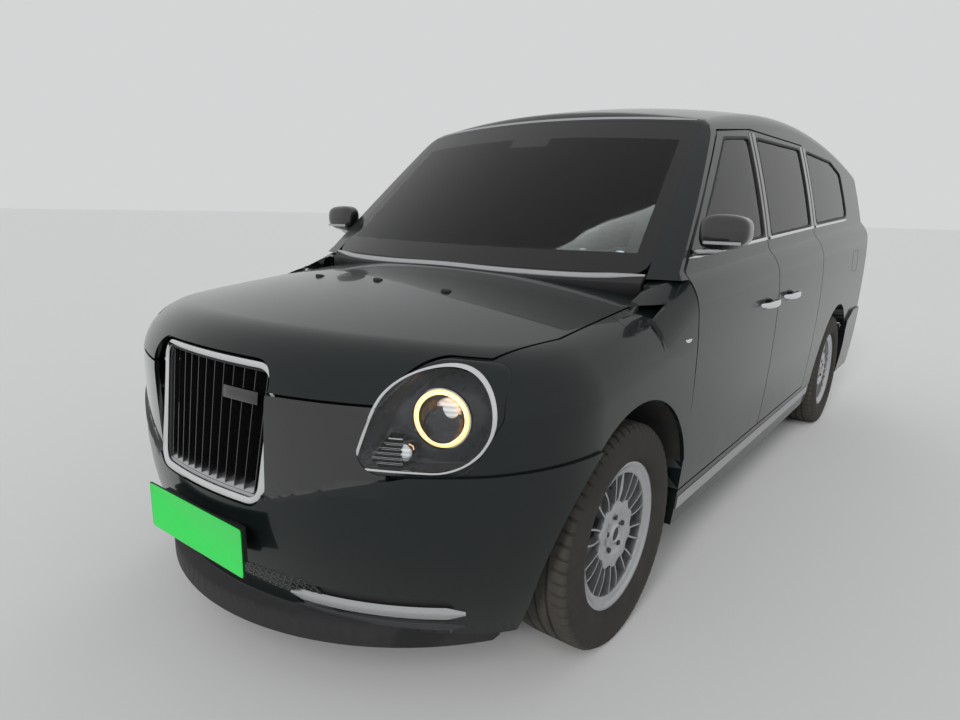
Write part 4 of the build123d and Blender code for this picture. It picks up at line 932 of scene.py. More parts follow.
def addGrille():
    k = grille
    count = 160

    def loop(grow, out):
        return [onGrille(p.x, p.y, out) for p in resampled(grilleOutline(grow), count)]

    # Each row of the ring's section: how far outside the opening, how far ahead of the plane
    section = [(0.0, -k["depth"]), (0.0, -0.004), (-0.002, 0.001), (-0.006, 0.004), (-0.012, 0.0055),
               (-0.018, 0.004), (-0.0225, 0.0), (-0.024, -0.006), (-0.024, -k["depth"])]
    bm = bmesh.new()
    loopStack(bm, [loop(*row) for row in section], joinEnds=True)
    addPiece("grille_ring", bm, "chrome", replaces=("grille_surround",), sharp=60)

    bm = bmesh.new()
    inside = [(-0.025, -0.012), (-0.031, -0.012), (-0.036, -0.030), (-0.036, -k["depth"] + 0.004),
              (-0.025, -k["depth"] + 0.004)]
    loopStack(bm, [loop(*row) for row in inside], joinEnds=True)
    addPiece("grille_inner_frame", bm, "softBlack", sharp=40)

    tall = (k["top"] - k["footZ"]) / math.cos(k["lean"])
    bm = bmesh.new()
    for i in range(k["fins"]):
        x = (i + 0.5) / k["fins"] * 2 - 1
        low, high = x * (k["half"][0] - k["ring"] - 0.004), x * (k["half"][1] - k["ring"] - 0.004)
        for v in addBar(bm, 2, 9):
            height = v.co.z + 0.5
            ends = k["ring"] + 0.004
            along = ends + height * (tall - 2 * ends)
            nose = 0.35 if v.co.y < 0 else 1.0
            v.co = onGrille(low + (high - low) * height + v.co.x * k["finWidth"] * nose, along,
                            -k["finBack"] - (v.co.y + 0.5) * k["finDepth"])
    addPiece("grille_fins", bm, "glossBlack", replaces=("grille_slats",), sharp=40)

    bm = bmesh.new()
    for i in range(k["wires"]):
        height = k["ring"] + (tall - 2 * k["ring"]) * (i + 0.5) / k["wires"]
        half = k["half"][0] + (k["half"][1] - k["half"][0]) * height / tall - k["ring"]
        rule = addGrid(bm, 20, 1)
        for v, (s, t) in rule.items():
            v.co = onGrille((2 * s - 1) * half, height + (t - 0.5) * k["wireTall"],
                            -k["finBack"] - k["finDepth"] - 0.004)
    bmesh.ops.solidify(bm, geom=bm.faces, thickness=0.003)
    addPiece("grille_mesh", bm, "softBlack", sharp=30)

    bm = bmesh.new()
    rule = addGrid(bm, 24, 4)
    for v, (s, t) in rule.items():
        half = k["half"][0] - k["ring"] - 0.006
        v.co = onGrille((2 * s - 1) * half, k["ring"] + 0.002 + t * k["baseHeight"], -0.010 - 0.030 * t ** 1.5)
    bmesh.ops.solidify(bm, geom=bm.faces, thickness=0.004)
    addPiece("grille_base_strip", bm, "satin", sharp=50)

    bm = bmesh.new()
    rule = addGrid(bm, 12, 6)
    for v, (s, t) in rule.items():
        v.co = onGrille(k["barAt"][0] + s * k["bar"][0], tall + k["barAt"][1] + t * k["bar"][1],
                        -0.008 + 0.003 * (1 - (2 * t - 1) ** 4) * (1 - (2 * s - 1) ** 8))
    bmesh.ops.solidify(bm, geom=bm.faces, thickness=0.004)
    addPiece("grille_bar", bm, "glossBlack", sharp=50)

    bm = bmesh.new()
    loopStack(bm, [loop(-0.030, -k["depth"] + 0.006), loop(-0.030, -k["depth"] + 0.001)], capStart=True, capEnd=True)
    addPiece("grille_back", bm, "softBlack", sharp=30)


addGrille()
print("grille ready")


# Patches that lie on the skin, drawn in front view (x, z) or side view (u, z)

def addPatch(name, outlinePoints, form, material, thickness, lift, facing="front", body="body",
             spacing=0.02, edgeRound=0.0):
    for side, tag in sides:
        bm = bmesh.new()
        flat = [Vector((p[0], 0.0, p[1])) for p in outlinePoints]
        bm.faces.new([bm.verts.new(p) for p in flat])
        low, high = [min(p[i] for p in flat) for i in (0, 2)], [max(p[i] for p in flat) for i in (0, 2)]
        for axis, normal in ((0, (1, 0, 0)), (1, (0, 0, 1))):
            cuts = max(1, int((high[axis] - low[axis]) / spacing))
            for i in range(1, cuts):
                offset = low[axis] + (high[axis] - low[axis]) * i / cuts
                place = (offset, 0, 0) if axis == 0 else (0, 0, offset)
                bmesh.ops.bisect_plane(bm, geom=bm.verts[:] + bm.edges[:] + bm.faces[:], plane_co=place,
                                       plane_no=normal, dist=1e-5)
        spots = asArray(v.co for v in bm.verts)
        for v, place in zip(bm.verts, castOnto(spots[:, 0], spots[:, 2], form, lift, facing, side)):
            v.co = place
        bm.normal_update()
        outward = form(asArray(f.calc_center_median() for f in bm.faces))[1]
        if sum(f.normal.dot(Vector(n)) for f, n in zip(bm.faces, outward)) < 0:
            bmesh.ops.reverse_faces(bm, faces=bm.faces)
        bmesh.ops.solidify(bm, geom=bm.faces, thickness=thickness)
        if edgeRound:
            roundEdges(bm, edgeRound)
        addPiece(name + tag, bm, material, ridden(body, tag), sharp=40)


# Honeycomb intake that runs behind the plate from blade to blade

vent = dict(corners=[(0.120, 0.300), (0.400, 0.300), (0.372, 0.346), (0.120, 0.356)], corner=0.008,
            cell=0.0125, bar=0.0032, wall=0.0022, first=(0.130, 0.308))


def insideOutline(points, p):
    hit = False
    for a, b in zip(points, points[1:] + points[:1]):
        if (a[1] > p[1]) != (b[1] > p[1]) and p[0] < (b[0] - a[0]) * (p[1] - a[1]) / (b[1] - a[1]) + a[0]:
            hit = not hit
    return hit


def addVents():
    k = vent
    flat = [(p.x, p.y) for p in roundedOutline(k["corners"], k["corner"], 6)]
    addPatch("vent_pocket", flat, bumperForm, "softBlack", 0.003, 0.0009)
    for side, tag in sides:
        bm = bmesh.new()
        stepX, stepZ = k["cell"] * math.sqrt(3), k["cell"] * 1.5
        for row in range(14):
            for column in range(26):
                x = k["first"][0] + stepX * (column + 0.5 * (row % 2))
                z = k["first"][1] + stepZ * row
                if insideOutline(flat, (x, z)):
                    radius = k["cell"] - k["bar"] / 2
                    for v in bmesh.ops.create_circle(bm, segments=6, radius=radius, cap_ends=True)["verts"]:
                        v.co = Vector((x + v.co.y, 0.0, z + v.co.x))
        faces = bm.faces[:]
        bmesh.ops.inset_individual(bm, faces=faces, thickness=k["wall"], depth=0.0)
        bmesh.ops.delete(bm, geom=faces, context="FACES")
        spots = asArray(v.co for v in bm.verts)
        for v, place in zip(bm.verts, castOnto(spots[:, 0], spots[:, 2], bumperForm, 0.0042, side=side)):
            v.co = place
        bmesh.ops.recalc_face_normals(bm, faces=bm.faces)
        bmesh.ops.solidify(bm, geom=bm.faces, thickness=0.003)
        addPiece("vent_honeycomb" + tag, bm, "glossBlack", "body", sharp=30)
    for side, tag in sides:
        ringOnSkin("vent_rim" + tag, [(x * side, z) for x, z in flat], bumperForm, 0.006, 0.0040, "softBlack")


def ringOnSkin(name, outlinePoints, form, width, height, material, facing="front", body="body", sink=0.002,
               count=120, side=1):
    # A domed rim that runs round a closed outline on the skin. side counts in side view only
    ring = resampled([Vector(p) for p in outlinePoints], count)
    inward = []
    for i, p in enumerate(ring):
        ahead = (ring[(i + 1) % count] - ring[i - 1]).normalized()
        inward.append(Vector((-ahead.y, ahead.x)))
    area = sum(a.x * b.y - b.x * a.y for a, b in zip(ring, ring[1:] + ring[:1]))
    turn = 1 if area > 0 else -1
    rows = [(0.0, -sink), (0.12, height * 0.6), (0.3, height), (0.7, height), (0.88, height * 0.6), (1.0, -sink)]
    loops = []
    for share, lift in rows:
        flat = np.array([tuple(p + n * (turn * (share - 0.5) * width)) for p, n in zip(ring, inward)])
        loops.append([Vector(p) for p in castOnto(flat[:, 0], flat[:, 1], form, lift, facing, side)])
    bm = bmesh.new()
    loopStack(bm, loops, joinEnds=True)
    addPiece(name, bm, material, body, sharp=60)


addVents()


# Satin blades below the lamps, each over a dark recess

blade = dict(path=[(0.295, 0.12, 0.306), (0.409, 0.182, 0.308), (0.506, 0.238, 0.312), (0.596, 0.30, 0.318),
                   (0.694, 0.375, 0.326)], width=0.040, height=0.012)
addStrip("blade_tray", [(x, u, z - 0.052) for x, u, z in blade["path"]], bumperForm, 0.034, 0.006, "trimDark",
         taper=(0.35, 0.25), crown=4.0)
addStrip("bumper_blade", blade["path"], bumperForm, blade["width"], blade["height"], "satin",
         lift=0.004, taper=(0.35, 0.25), crown=3.0)


# Bare plates on their brackets

plates = dict(width=0.480, height=0.140, corner=0.010, frontZ=0.432, rearZ=0.830)


def addPlate(name, middle, outward):
    k = plates
    w, h = k["width"] / 2, k["height"] / 2
    shape = roundedOutline([(-w, -h), (w, -h), (w, h), (-w, h)], k["corner"], 6)
    bm = bmesh.new()
    # Each row: how far inside the edge, how far ahead
    rows = [(0.0, 0.0), (0.0, 0.0012), (0.0012, 0.0020), (0.0045, 0.0020), (0.0060, 0.0014)]
    loops = []
    for inset, ahead in rows:
        across, up = 1 - inset / w, 1 - inset / h
        loops.append([middle + Vector((p.x * across, outward * ahead, p.y * up)) for p in shape])
    loopStack(bm, loops, capStart=True, capEnd=True)
    addPiece(name, bm, "plateGreen", "body", sharp=30)


plateLow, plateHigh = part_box("number_plates")
addPlate("front_plate", Vector((0, plateLow.y, plates["frontZ"])), -1)
addPlate("rear_plate", Vector((0, plateHigh.y, plates["rearZ"])), 1)


# Headlamps: the CAD shell as housing, with bowl, projector, glowing ring and a clear cover on the skin

lamp = dict(hole=[(0.500, 0.688), (0.760, 0.700), (0.822, 0.840), (0.800, 0.962), (0.635, 0.975), (0.560, 0.850)],
            holeCorner=0.055, corner=(0.512, 0.702), round=(0.682, 0.832), radius=0.122, stretch=1.06,
            bowl=(0.690, 0.836), bowlRadius=0.074, depth=0.060, ringTube=0.0042, small=(0.610, 0.745),
            steps=7, stepFrom=(0.520, 0.704), stepLong=0.085)


def lampOutline():
    # A circle drawn out to one corner, low beside the grille
    k = lamp
    (cx, cz), (px, pz) = k["round"], k["corner"]
    away, heading = math.hypot(px - cx, pz - cz), math.atan2(pz - cz, px - cx)
    half = math.acos(k["radius"] / away)
    arc = np.linspace(heading + half, heading + math.tau - half, 40)
    points = [(cx + k["radius"] * math.cos(t), cz + k["radius"] * k["stretch"] * math.sin(t)) for t in arc]
    tip = [(px + 0.020, pz + 0.001), (px + 0.006, pz + 0.002), (px + 0.001, pz + 0.008), (px + 0.007, pz + 0.024)]
    return points + (tip[::-1] if points[-1][1] > points[0][1] else tip)


def spun(bm, profile, place, steps=48):
    # profile rows are (radius, distance along the axis); the full turn closes on itself. Tags mark finished verts
    verts = [bm.verts.new((r, 0.0, a)) for r, a in profile]
    edges = [bm.edges.new(pair) for pair in zip(verts, verts[1:])]
    bmesh.ops.spin(bm, geom=verts + edges, cent=(0, 0, 0), axis=(0, 0, 1), dvec=(0, 0, 0), angle=math.tau,
                   steps=steps, use_merge=True, use_duplicate=False)
    bmesh.ops.remove_doubles(bm, verts=[v for v in bm.verts if not v.tag], dist=tiny)
    fresh = [v for v in bm.verts if not v.tag]
    for v in fresh:
        v.co = place @ v.co
        v.tag = True
    return fresh


def facingPlace(origin, outward):
    # Local z looks outward
    turn = Vector(outward).normalized().to_track_quat("Z", "Y").to_matrix().to_4x4()
    return Matrix.Translation(origin) @ turn


def addSurround(shape):
    # Painted skin from the wing's opening in to the lamp's own outline
    count = 120
    hole = resampled([Vector((p.x, p.y)) for p in roundedOutline(lamp["hole"], lamp["holeCorner"], 8)], count)
    inner = resampled([Vector(p) for p in shape], count)
    middle = Vector(lamp["round"])

    def byAngle(points):
        return sorted(points, key=lambda p: math.atan2(p.y - middle.y, p.x - middle.x))

    outer, inner = byAngle(hole), byAngle(inner)
    # Each row: share of the way inward, how far above the skin
    rows = [(0.0, -0.012), (0.004, -0.0006), (0.25, 0.0), (0.5, 0.0), (0.75, 0.0), (1.0, 0.0), (1.0, -0.016)]
    for side, tag in sides:
        bm = bmesh.new()
        loops = []
        for share, lift in rows:
            flat = np.array([tuple(o.lerp(i, share)) for o, i in zip(outer, inner)])
            loops.append([Vector(p) for p in castOnto(flat[:, 0], flat[:, 1], noseForm, lift, side=side)])
        loopStack(bm, loops)
        addPiece("headlamp_surround" + tag, bm, "paint", "body", sharp=50)


def addHeadlamps():
    k = lamp
    shape = lampOutline()
    addSurround(shape)
    addPatch("headlamp_cover", shape, noseForm, "lampGlass", 0.0025, 0.0005, spacing=0.025)
    for side, tag in sides:
        ringOnSkin("headlamp_outline" + tag, [(x * side, z) for x, z in shape], noseForm, 0.0085, 0.0030, "chrome",
                   sink=0.004)
        x, z = k["bowl"]
        front = dropOnto(np.array([[x * side, at(0.0), z]]), noseForm, (0, 1, 0), -0.018)[0]
        outward = Vector((0.35 * side, -0.93, 0.04))
        place = facingPlace(Vector(front) - outward.normalized() * 0.012, outward)
        r, d = k["bowlRadius"], k["depth"]
        bm = bmesh.new()
        bowl = [(r + 0.004, -0.004), (r + 0.002, 0.003), (r - 0.002, 0.004), (r - 0.006, 0.0)]
        bowl += [(r * math.cos(t) * 0.94, -d * math.sin(t)) for t in np.linspace(0.15, 1.45, 9)]
        bowl += [(0.001, -d)]
        spun(bm, bowl, place, 64)
        addPiece("headlamp_bowl" + tag, bm, "reflector", "body", sharp=40)
        bm = bmesh.new()
        ring = [(r - 0.010 + k["ringTube"] * math.cos(t), 0.002 + k["ringTube"] * math.sin(t))
                for t in np.linspace(0, math.tau, 13)]
        spun(bm, ring, place, 64)
        addPiece("headlamp_glow_ring" + tag, bm, "amberGlow", "body", sharp=60)
        bm = bmesh.new()
        eye = place @ Matrix.Translation((0.016 * side, 0.020, 0.0))
        lens = [(0.030, -0.034), (0.030, -0.006)]
        lens += [(0.027 * math.cos(t), -0.004 + 0.012 * math.sin(t)) for t in np.linspace(0.1, math.pi / 2 - 0.02, 8)]
        spun(bm, lens, eye, 40)
        addPiece("headlamp_projector" + tag, bm, "whiteLens", "body", sharp=50)
        bm = bmesh.new()
        spun(bm, [(0.036, -0.036), (0.036, -0.008), (0.033, -0.004), (0.030, -0.008), (0.030, -0.036)], eye, 40)
        x, z = k["small"]
        behind = dropOnto(np.array([[x * side, at(0.0), z]]), noseForm, (0, 1, 0), -0.030)[0]
        small = facingPlace(Vector(behind), (0.22 * side, -0.97, 0.05))
        spun(bm, [(0.025, -0.030), (0.025, 0.001), (0.022, 0.004), (0.019, 0.0), (0.019, -0.012), (0.001, -0.020)],
             small, 32)
        addPiece("headlamp_bezels" + tag, bm, "chrome", "body", sharp=50)
        bm = bmesh.new()
        spun(bm, [(0.018, -0.002)] + [(0.017 * math.cos(t), 0.006 * math.sin(t)) for t in
                                      np.linspace(0.1, math.pi / 2 - 0.02, 6)], small, 32)
        addPiece("headlamp_small_lens" + tag, bm, "whiteLens", "body", sharp=50)
        # Stepped triangular reflector at the lower inner corner
        bm = bmesh.new()
        for i in range(k["steps"]):
            x0, z0 = k["stepFrom"][0] + i * 0.010, k["stepFrom"][1] + i * 0.013
            x1 = x0 + k["stepLong"] - i * 0.009
            rule = addGrid(bm, 6, 2)
            spots, keys = [], list(rule)
            for v in keys:
                s, t = rule[v]
                spots.append((side * (x0 + (x1 - x0) * s), at(0.0), z0 + 0.011 * t))
            placed = dropOnto(np.array(spots), noseForm, (0, 1, 0), -0.022)
            for v, p in zip(keys, placed):
                v.co = Vector(p) + Vector((0, 0.010 * rule[v][1], 0))
        bmesh.ops.solidify(bm, geom=bm.faces, thickness=0.003)
        addPiece("headlamp_reflector" + tag, bm, "chrome", "body", sharp=30)


def smoothNode(name, material, body="body", sharp=30, weld=2e-5):
    # The CAD shape with welded, smooth-shaded faces
    bm = bmesh.new()
    bm.from_mesh(nodes[name].data)
    bmesh.ops.remove_doubles(bm, verts=bm.verts, dist=weld)
    addPiece(name + "_smooth", bm, material, body, (name,), sharp, tidy=False)


smoothNode("headlamps", "lampHousing")
addHeadlamps()


# Side repeaters on the wings, and parking sensors in the bumpers

repeater = dict(u=1.221, z=0.935, long=0.062, tall=0.026)
oval = ellipse(repeater["u"], repeater["z"], repeater["long"] / 2, repeater["tall"] / 2, 28)
addPatch("side_repeater", oval, noseForm, "whiteLens", 0.006, 0.0055, "side", spacing=0.008,
         edgeRound=0.002)
for side, tag in sides:
    ringOnSkin("side_repeater_rim" + tag, oval, noseForm, 0.005, 0.0045, "chrome", "side", count=40,
               side=side)

sensors = dict(front=[(0.261, 0.487), (0.690, 0.456)], rear=[(0.300, 0.560), (0.700, 0.560)], radius=0.0125,
               bumperProud=0.015)


def rearForm(points):
    # The rear bumper's face stands proud of the cabin's form
    depth, normal = cabinForm(points)
    return depth - sensors["bumperProud"], normal


for facing, form in (("front", bumperForm), ("rear", rearForm)):
    for i, (x, z) in enumerate(sensors[facing]):
        outline = ellipse(x, z, sensors["radius"], sensors["radius"], 24)
        addPatch(facing + "_sensor_" + str(i + 1), outline, form, "paint", 0.004, 0.0025, facing,
                 spacing=0.006, edgeRound=0.0012)


# Tail lamps: ribbed red lens with a dark surround and a clear band

tail = dict(corners=[(0.804, 0.800), (0.884, 0.800), (0.858, 1.220), (0.796, 1.220)], corner=0.024,
            band=[(0.812, 0.985), (0.868, 0.985), (0.866, 1.030), (0.808, 1.030)], bandCorner=0.008)
for side, tag in sides:
    edge = [(p.x * side, p.y) for p in roundedOutline(tail["corners"], tail["corner"], 6)]
    ringOnSkin("tail_lamp_rim" + tag, edge, cabinForm, 0.007, 0.0085, "glossBlack", "rear", count=120)
addPatch("tail_lamp_clear", roundedOutline(tail["band"], tail["bandCorner"], 4), cabinForm, "whiteLens", 0.002,
         0.0088, "rear", spacing=0.015)
print("lamps ready")


# Wheels: tyre with tread and shoulder blocks, rim with a scalloped disc and paired spokes

tyre = dict(radius=0.3555, halfWidth=0.1075, treadHalf=0.086, bead=0.2205, beadHalf=0.0795, pitches=60,
            grooves=(0.040, 0.0, -0.040), grooveWidth=0.010, grooveDepth=0.008, sipeDepth=0.006, slant=0.35,
            ribHalf=0.048, ribSipe=0.0025, shares=(0.0, 0.30, 0.60, 0.74, 0.79, 0.95))
rim = dict(halfWidth=0.088, lip=0.236, seat=0.2187, pairs=10, spread=math.radians(6.4), bend=math.radians(1.8),
           spoke=0.0072, spokeFrom=0.098, discRadius=0.108,
           scallop=0.006, scallopFrom=0.08, face=0.074, cap=0.032, nuts=5, nutCircle=0.054)


def wheelPlace(middle, side):
    # Local z points outboard along the axle, local x is up
    outboard = Vector((side, 0, 0))
    turn = Matrix((Vector((0, 0, 1)), outboard.cross(Vector((0, 0, 1))), outboard)).transposed().to_4x4()
    return Matrix.Translation(middle) @ turn


def treadProfile():
    # Rows of (radius, across), from one bead over the tread to the other
    k = tyre
    r, half, tread = k["radius"], k["halfWidth"], k["treadHalf"]
    wall = []
    for t in np.linspace(0, 1, 12):
        a = math.pi * (0.12 + 0.80 * t)
        radius = k["bead"] + 0.016 + (r - 0.012 - k["bead"] - 0.016) * t
        bulge = 0.0245 * math.sin(a) ** 0.8 if t > 0 else 0.004
        width = k["beadHalf"] + 0.006 + (tread - k["beadHalf"]) * t ** 2 + bulge * (1 - 0.35 * t)
        wall.append((radius, min(width, half)))
    shoulder = [(r - 0.006, tread + 0.004), (r - 0.002, tread - 0.002)]
    right = [(k["bead"], k["beadHalf"] - 0.012), (k["bead"] + 0.002, k["beadHalf"])] + wall + shoulder
    crown = [(r - 0.0012, tread - 0.010), (r - 0.0004, 0.062)]
    for g in k["grooves"]:
        w, d = k["grooveWidth"] / 2, k["grooveDepth"]
        crown += [(r, g + w + 0.001), (r - d, g + w - 0.001), (r - d, g - w + 0.001), (r, g - w - 0.001)]
    crown += [(r - 0.0004, -0.062), (r - 0.0012, 0.010 - tread)]
    left = [(radius, -across) for radius, across in reversed(right)]
    return right + crown + left


def addTyre(name, middle, side, body, node, finish):
    k = tyre
    bm = bmesh.new()
    unit = math.tau / k["pitches"]
    # Within a pitch the six steps stand at the tyre's shares: a block, then a narrow groove
    for v in spun(bm, treadProfile(), Matrix.Identity(4), k["pitches"] * 6):
        radius = math.hypot(v.co.x, v.co.y)
        if radius <= k["radius"] - 0.030:
            continue
        turned = math.atan2(v.co.y, v.co.x) % math.tau
        pitch, part = divmod(int(round(turned / (unit / 6))) % (6 * k["pitches"]), 6)
        across = v.co.z
        slant = k["slant"] * unit * (abs(across) / k["treadHalf"]) * (1 if across > 0 else -1)
        angle = (pitch + k["shares"][part]) * unit + slant
        inShoulder = abs(across) > k["ribHalf"] and radius > k["radius"] - 0.026
        inRib = abs(across) < k["grooves"][0] and radius > k["radius"] - 0.003
        if part in (4, 5) and inShoulder:
            radius -= k["sipeDepth"] * (1.0 if radius > k["radius"] - 0.012 else 0.35)
        if part == 4 and inRib:
            radius -= k["ribSipe"]
        v.co = Vector((radius * math.cos(angle), radius * math.sin(angle), across))
    bmesh.ops.triangulate(bm, faces=[f for f in bm.faces if len(f.verts) > 4])
    bmesh.ops.transform(bm, matrix=wheelPlace(middle, side), verts=bm.verts)
    addPiece(name, bm, finish, body, (node,), sharp=32)


def addRim(name, middle, side, body, node):
    k = rim
    place = wheelPlace(middle, side)
    w, lip, seat = k["halfWidth"], k["lip"], k["seat"]
    bm = bmesh.new()
    barrel = [(seat - 0.010, -w + 0.004), (lip - 0.004, -w), (lip, -w + 0.002), (lip, -w + 0.006), (seat, -w + 0.010),
              (seat - 0.012, -0.030), (seat - 0.012, 0.030), (seat, w - 0.010), (lip - 0.001, w - 0.008),
              (lip, w - 0.005), (lip - 0.0015, w - 0.001), (lip - 0.005, w), (lip - 0.012, w - 0.001),
              (lip - 0.018, w - 0.006), (lip - 0.026, w - 0.009), (lip - 0.034, w - 0.010), (lip - 0.040, w - 0.013),
              (lip - 0.043, w - 0.022), (seat - 0.022, w - 0.040), (seat - 0.022, -w + 0.012)]
    spun(bm, barrel + barrel[:1], place, 96)
    addPiece(name + "_barrel", bm, "wheelSilver", body, (node,), sharp=35)

    bm = bmesh.new()
    # Centre disc, its edge scalloped once for each pair of spokes
    rows = [(k["discRadius"], k["face"] - 0.022), (k["discRadius"], k["face"] - 0.006),
            (k["discRadius"] - 0.003, k["face"] - 0.001), (k["discRadius"] - 0.010, k["face"]),
            (0.066, k["face"] - 0.001), (0.060, k["face"] - 0.006), (0.040, k["face"] - 0.007),
            (k["cap"] + 0.002, k["face"] - 0.005), (k["cap"], k["face"] - 0.001), (0.026, k["face"] + 0.002),
            (0.022, k["face"] - 0.004), (0.001, k["face"] - 0.005)]
    for v in spun(bm, rows, Matrix.Identity(4), 120):
        radius, angle = math.hypot(v.co.x, v.co.y), math.atan2(v.co.y, v.co.x)
        if radius > k["scallopFrom"]:
            wave = math.cos(angle * k["pairs"])
            change = k["scallop"] * wave * min(1.0, (radius - k["scallopFrom"]) / 0.02)
            v.co.x, v.co.y = v.co.x * (1 + change / radius), v.co.y * (1 + change / radius)
    # Spokes: slim bars in pairs, each bowed along its length and sunk towards the rim
    for i in range(k["pairs"]):
        for lean in (-1, 1):
            for v in addBar(bm, 0, 7):
                share = v.co.x + 0.5
                radius = k["spokeFrom"] + share * (seat - 0.016 - k["spokeFrom"])
                spread = k["spread"] + k["bend"] * (1 - (2 * share - 1) ** 2)
                angle = i * math.tau / k["pairs"] + lean * spread
                wide = k["spoke"] * (1.0 + 0.5 * (2 * share - 1) ** 4)
                narrow = 0.72 if v.co.z > 0 else 1.0
                across = v.co.y * wide * narrow
                out = k["face"] - 0.006 + 0.006 * share + (v.co.z - 0.5) * 0.024 + 0.004 * math.sin(math.pi * share)
                v.co = Vector((radius * math.cos(angle) - across * math.sin(angle),
                               radius * math.sin(angle) + across * math.cos(angle), out))
    bmesh.ops.transform(bm, matrix=place, verts=bm.verts)
    addPiece(name + "_spokes", bm, "wheelSilver", body, sharp=38)

    bm = bmesh.new()
    for i in range(k["nuts"]):
        angle = math.tau * i / k["nuts"]
        spot = place @ Matrix.Translation((k["nutCircle"] * math.cos(angle), k["nutCircle"] * math.sin(angle),
                                           k["face"] - 0.008))
        spun(bm, [(0.0095, -0.004), (0.0095, 0.004), (0.0075, 0.007), (0.001, 0.008)], spot, 6)
    spun(bm, [(0.021, 0.0), (0.0205, 0.0035), (0.015, 0.0050), (0.001, 0.0052)],
         place @ Matrix.Translation((0, 0, k["face"] - 0.006)), 32)
    addPiece(name + "_nuts", bm, "steel", body, sharp=30)

    bm = bmesh.new()
    valve = place @ Matrix.Rotation(0.3, 4, "Z") @ Matrix.Translation((seat - 0.030, 0, k["face"] - 0.030))
    spun(bm, [(0.0045, -0.010), (0.0045, 0.020), (0.0035, 0.024), (0.0035, 0.032), (0.001, 0.033)],
         valve @ Matrix.Rotation(-0.35, 4, "Y"), 12)
    addPiece(name + "_valve", bm, "softBlack", body, sharp=40)


for end in ("front", "rear"):
    for side, tag in sides:
        place = end + tag
        middle = nodeMiddle("tyre_" + place)
        finishes["tyre_" + place] = tyreFinish("tyre_rubber_" + place, middle)
        addTyre("tyre_tread_" + place, middle, side, "wheel_" + place, "tyre_" + place, "tyre_" + place)
        addRim("wheel_" + place, middle, side, "wheel_" + place, "rim_" + place)
print("wheels ready")


# Bright lines, handles, mirrors and small fittings on the sides

trimLines = dict(
    cowl=[(0.770, 1.203, 1.128), (0.55, 1.118, 1.128), (0.28, 1.070, 1.128), (0.0, 1.062, 1.128)],
    belt=[(0.86, 1.345, 1.185), (0.85, 1.75, 1.204), (0.85, 2.285, 1.231)],
    beltRear=[(0.85, 2.335, 1.233), (0.85, 2.80, 1.256), (0.85, 3.195, 1.275)],
    beltQuarter=[(0.85, 3.245, 1.277), (0.85, 3.70, 1.298), (0.85, 4.150, 1.318)])


def addLines():
    k = trimLines
    # One strip along the foot of the windscreen, right across
    half = k["cowl"]
    across = [(-x, u, z) for x, u, z in half] + [(x, u, z) for x, u, z in half[::-1][1:]]
    addStrip("cowl_strip", across, cabinForm, 0.026, 0.007, "satin", both=False, count=90,
             taper=(0.4, 0.4), crown=4.0, lift=0.001)
    for name, line, body, taper in (("belt_line", "belt", "front_door", (0.2, 0.9)),
                                    ("belt_line_rear", "beltRear", "rear_door", (0.9, 0.9)),
                                    ("belt_line_quarter", "beltQuarter", "body", (0.9, 0.3))):
        addStrip(name, k[line], cabinForm, 0.017, 0.005, "chrome", body, taper=taper, crown=4.0)
    header = []
    for x in np.linspace(-0.664, 0.664, 41):
        z = 1.694 + 0.028 * (1 - (x / 0.686) ** 2)
        spot = dropOnto(np.array([[x, at(1.5), z]]), cabinForm, (0, 1, 0))[0]
        header.append((x, spot[1] + carLength / 2, z))
    addStrip("header_strip", header, cabinForm, 0.016, 0.005, "satin", both=False, count=90,
             taper=(0.4, 0.4), crown=4.0, lift=0.001)


addLines()

# Rubber between glass and panel, one frame for each window
windowOutlines = dict(
    front_door=([(1.445, 1.218), (1.925, 1.636), (2.262, 1.668), (2.262, 1.240)], 0.030, "front_door"),
    rear_door=([(2.368, 1.246), (2.368, 1.676), (3.150, 1.688), (3.150, 1.286)], 0.030, "rear_door"),
    quarter=([(3.278, 1.296), (3.278, 1.690), (3.900, 1.672), (4.130, 1.610), (4.170, 1.340)], 0.045, "body"))
for window, (corners, radius, body) in windowOutlines.items():
    edge = [(p.x, p.y) for p in roundedOutline(corners, radius, 6)]
    for side, tag in sides:
        ringOnSkin(window + "_window_seal" + tag, edge, cabinForm, 0.014, 0.0015, "softBlack", "side",
                   ridden(body, tag), sink=0.012, count=140, side=side)

# Gloss black posts between the side windows
blackPosts = dict(
    front_door=[(2.272, 1.236), (2.272, 1.690), (2.300, 1.692), (2.300, 1.236)],
    rear_door=[(2.316, 1.238), (2.316, 1.693), (2.358, 1.695), (2.358, 1.240)],
    rear_door_back=[(3.158, 1.280), (3.158, 1.703), (3.208, 1.704), (3.208, 1.282)],
    body=[(3.226, 1.284), (3.226, 1.702), (3.268, 1.700), (3.268, 1.288)])
for post, corners in blackPosts.items():
    body = "rear_door" if post == "rear_door_back" else post
    addPatch(post + "_post", corners, cabinForm, "glossBlack", 0.0012, 0.0010, "side", body,
             spacing=0.03)

# Door handles: a bowed bright bar on two feet over a dipped cup
handles = dict(front_door=(2.115, 0.966), rear_door=(2.480, 0.972), long=0.225, tall=0.029, away=0.026,
               cupHalf=(0.060, 0.026))


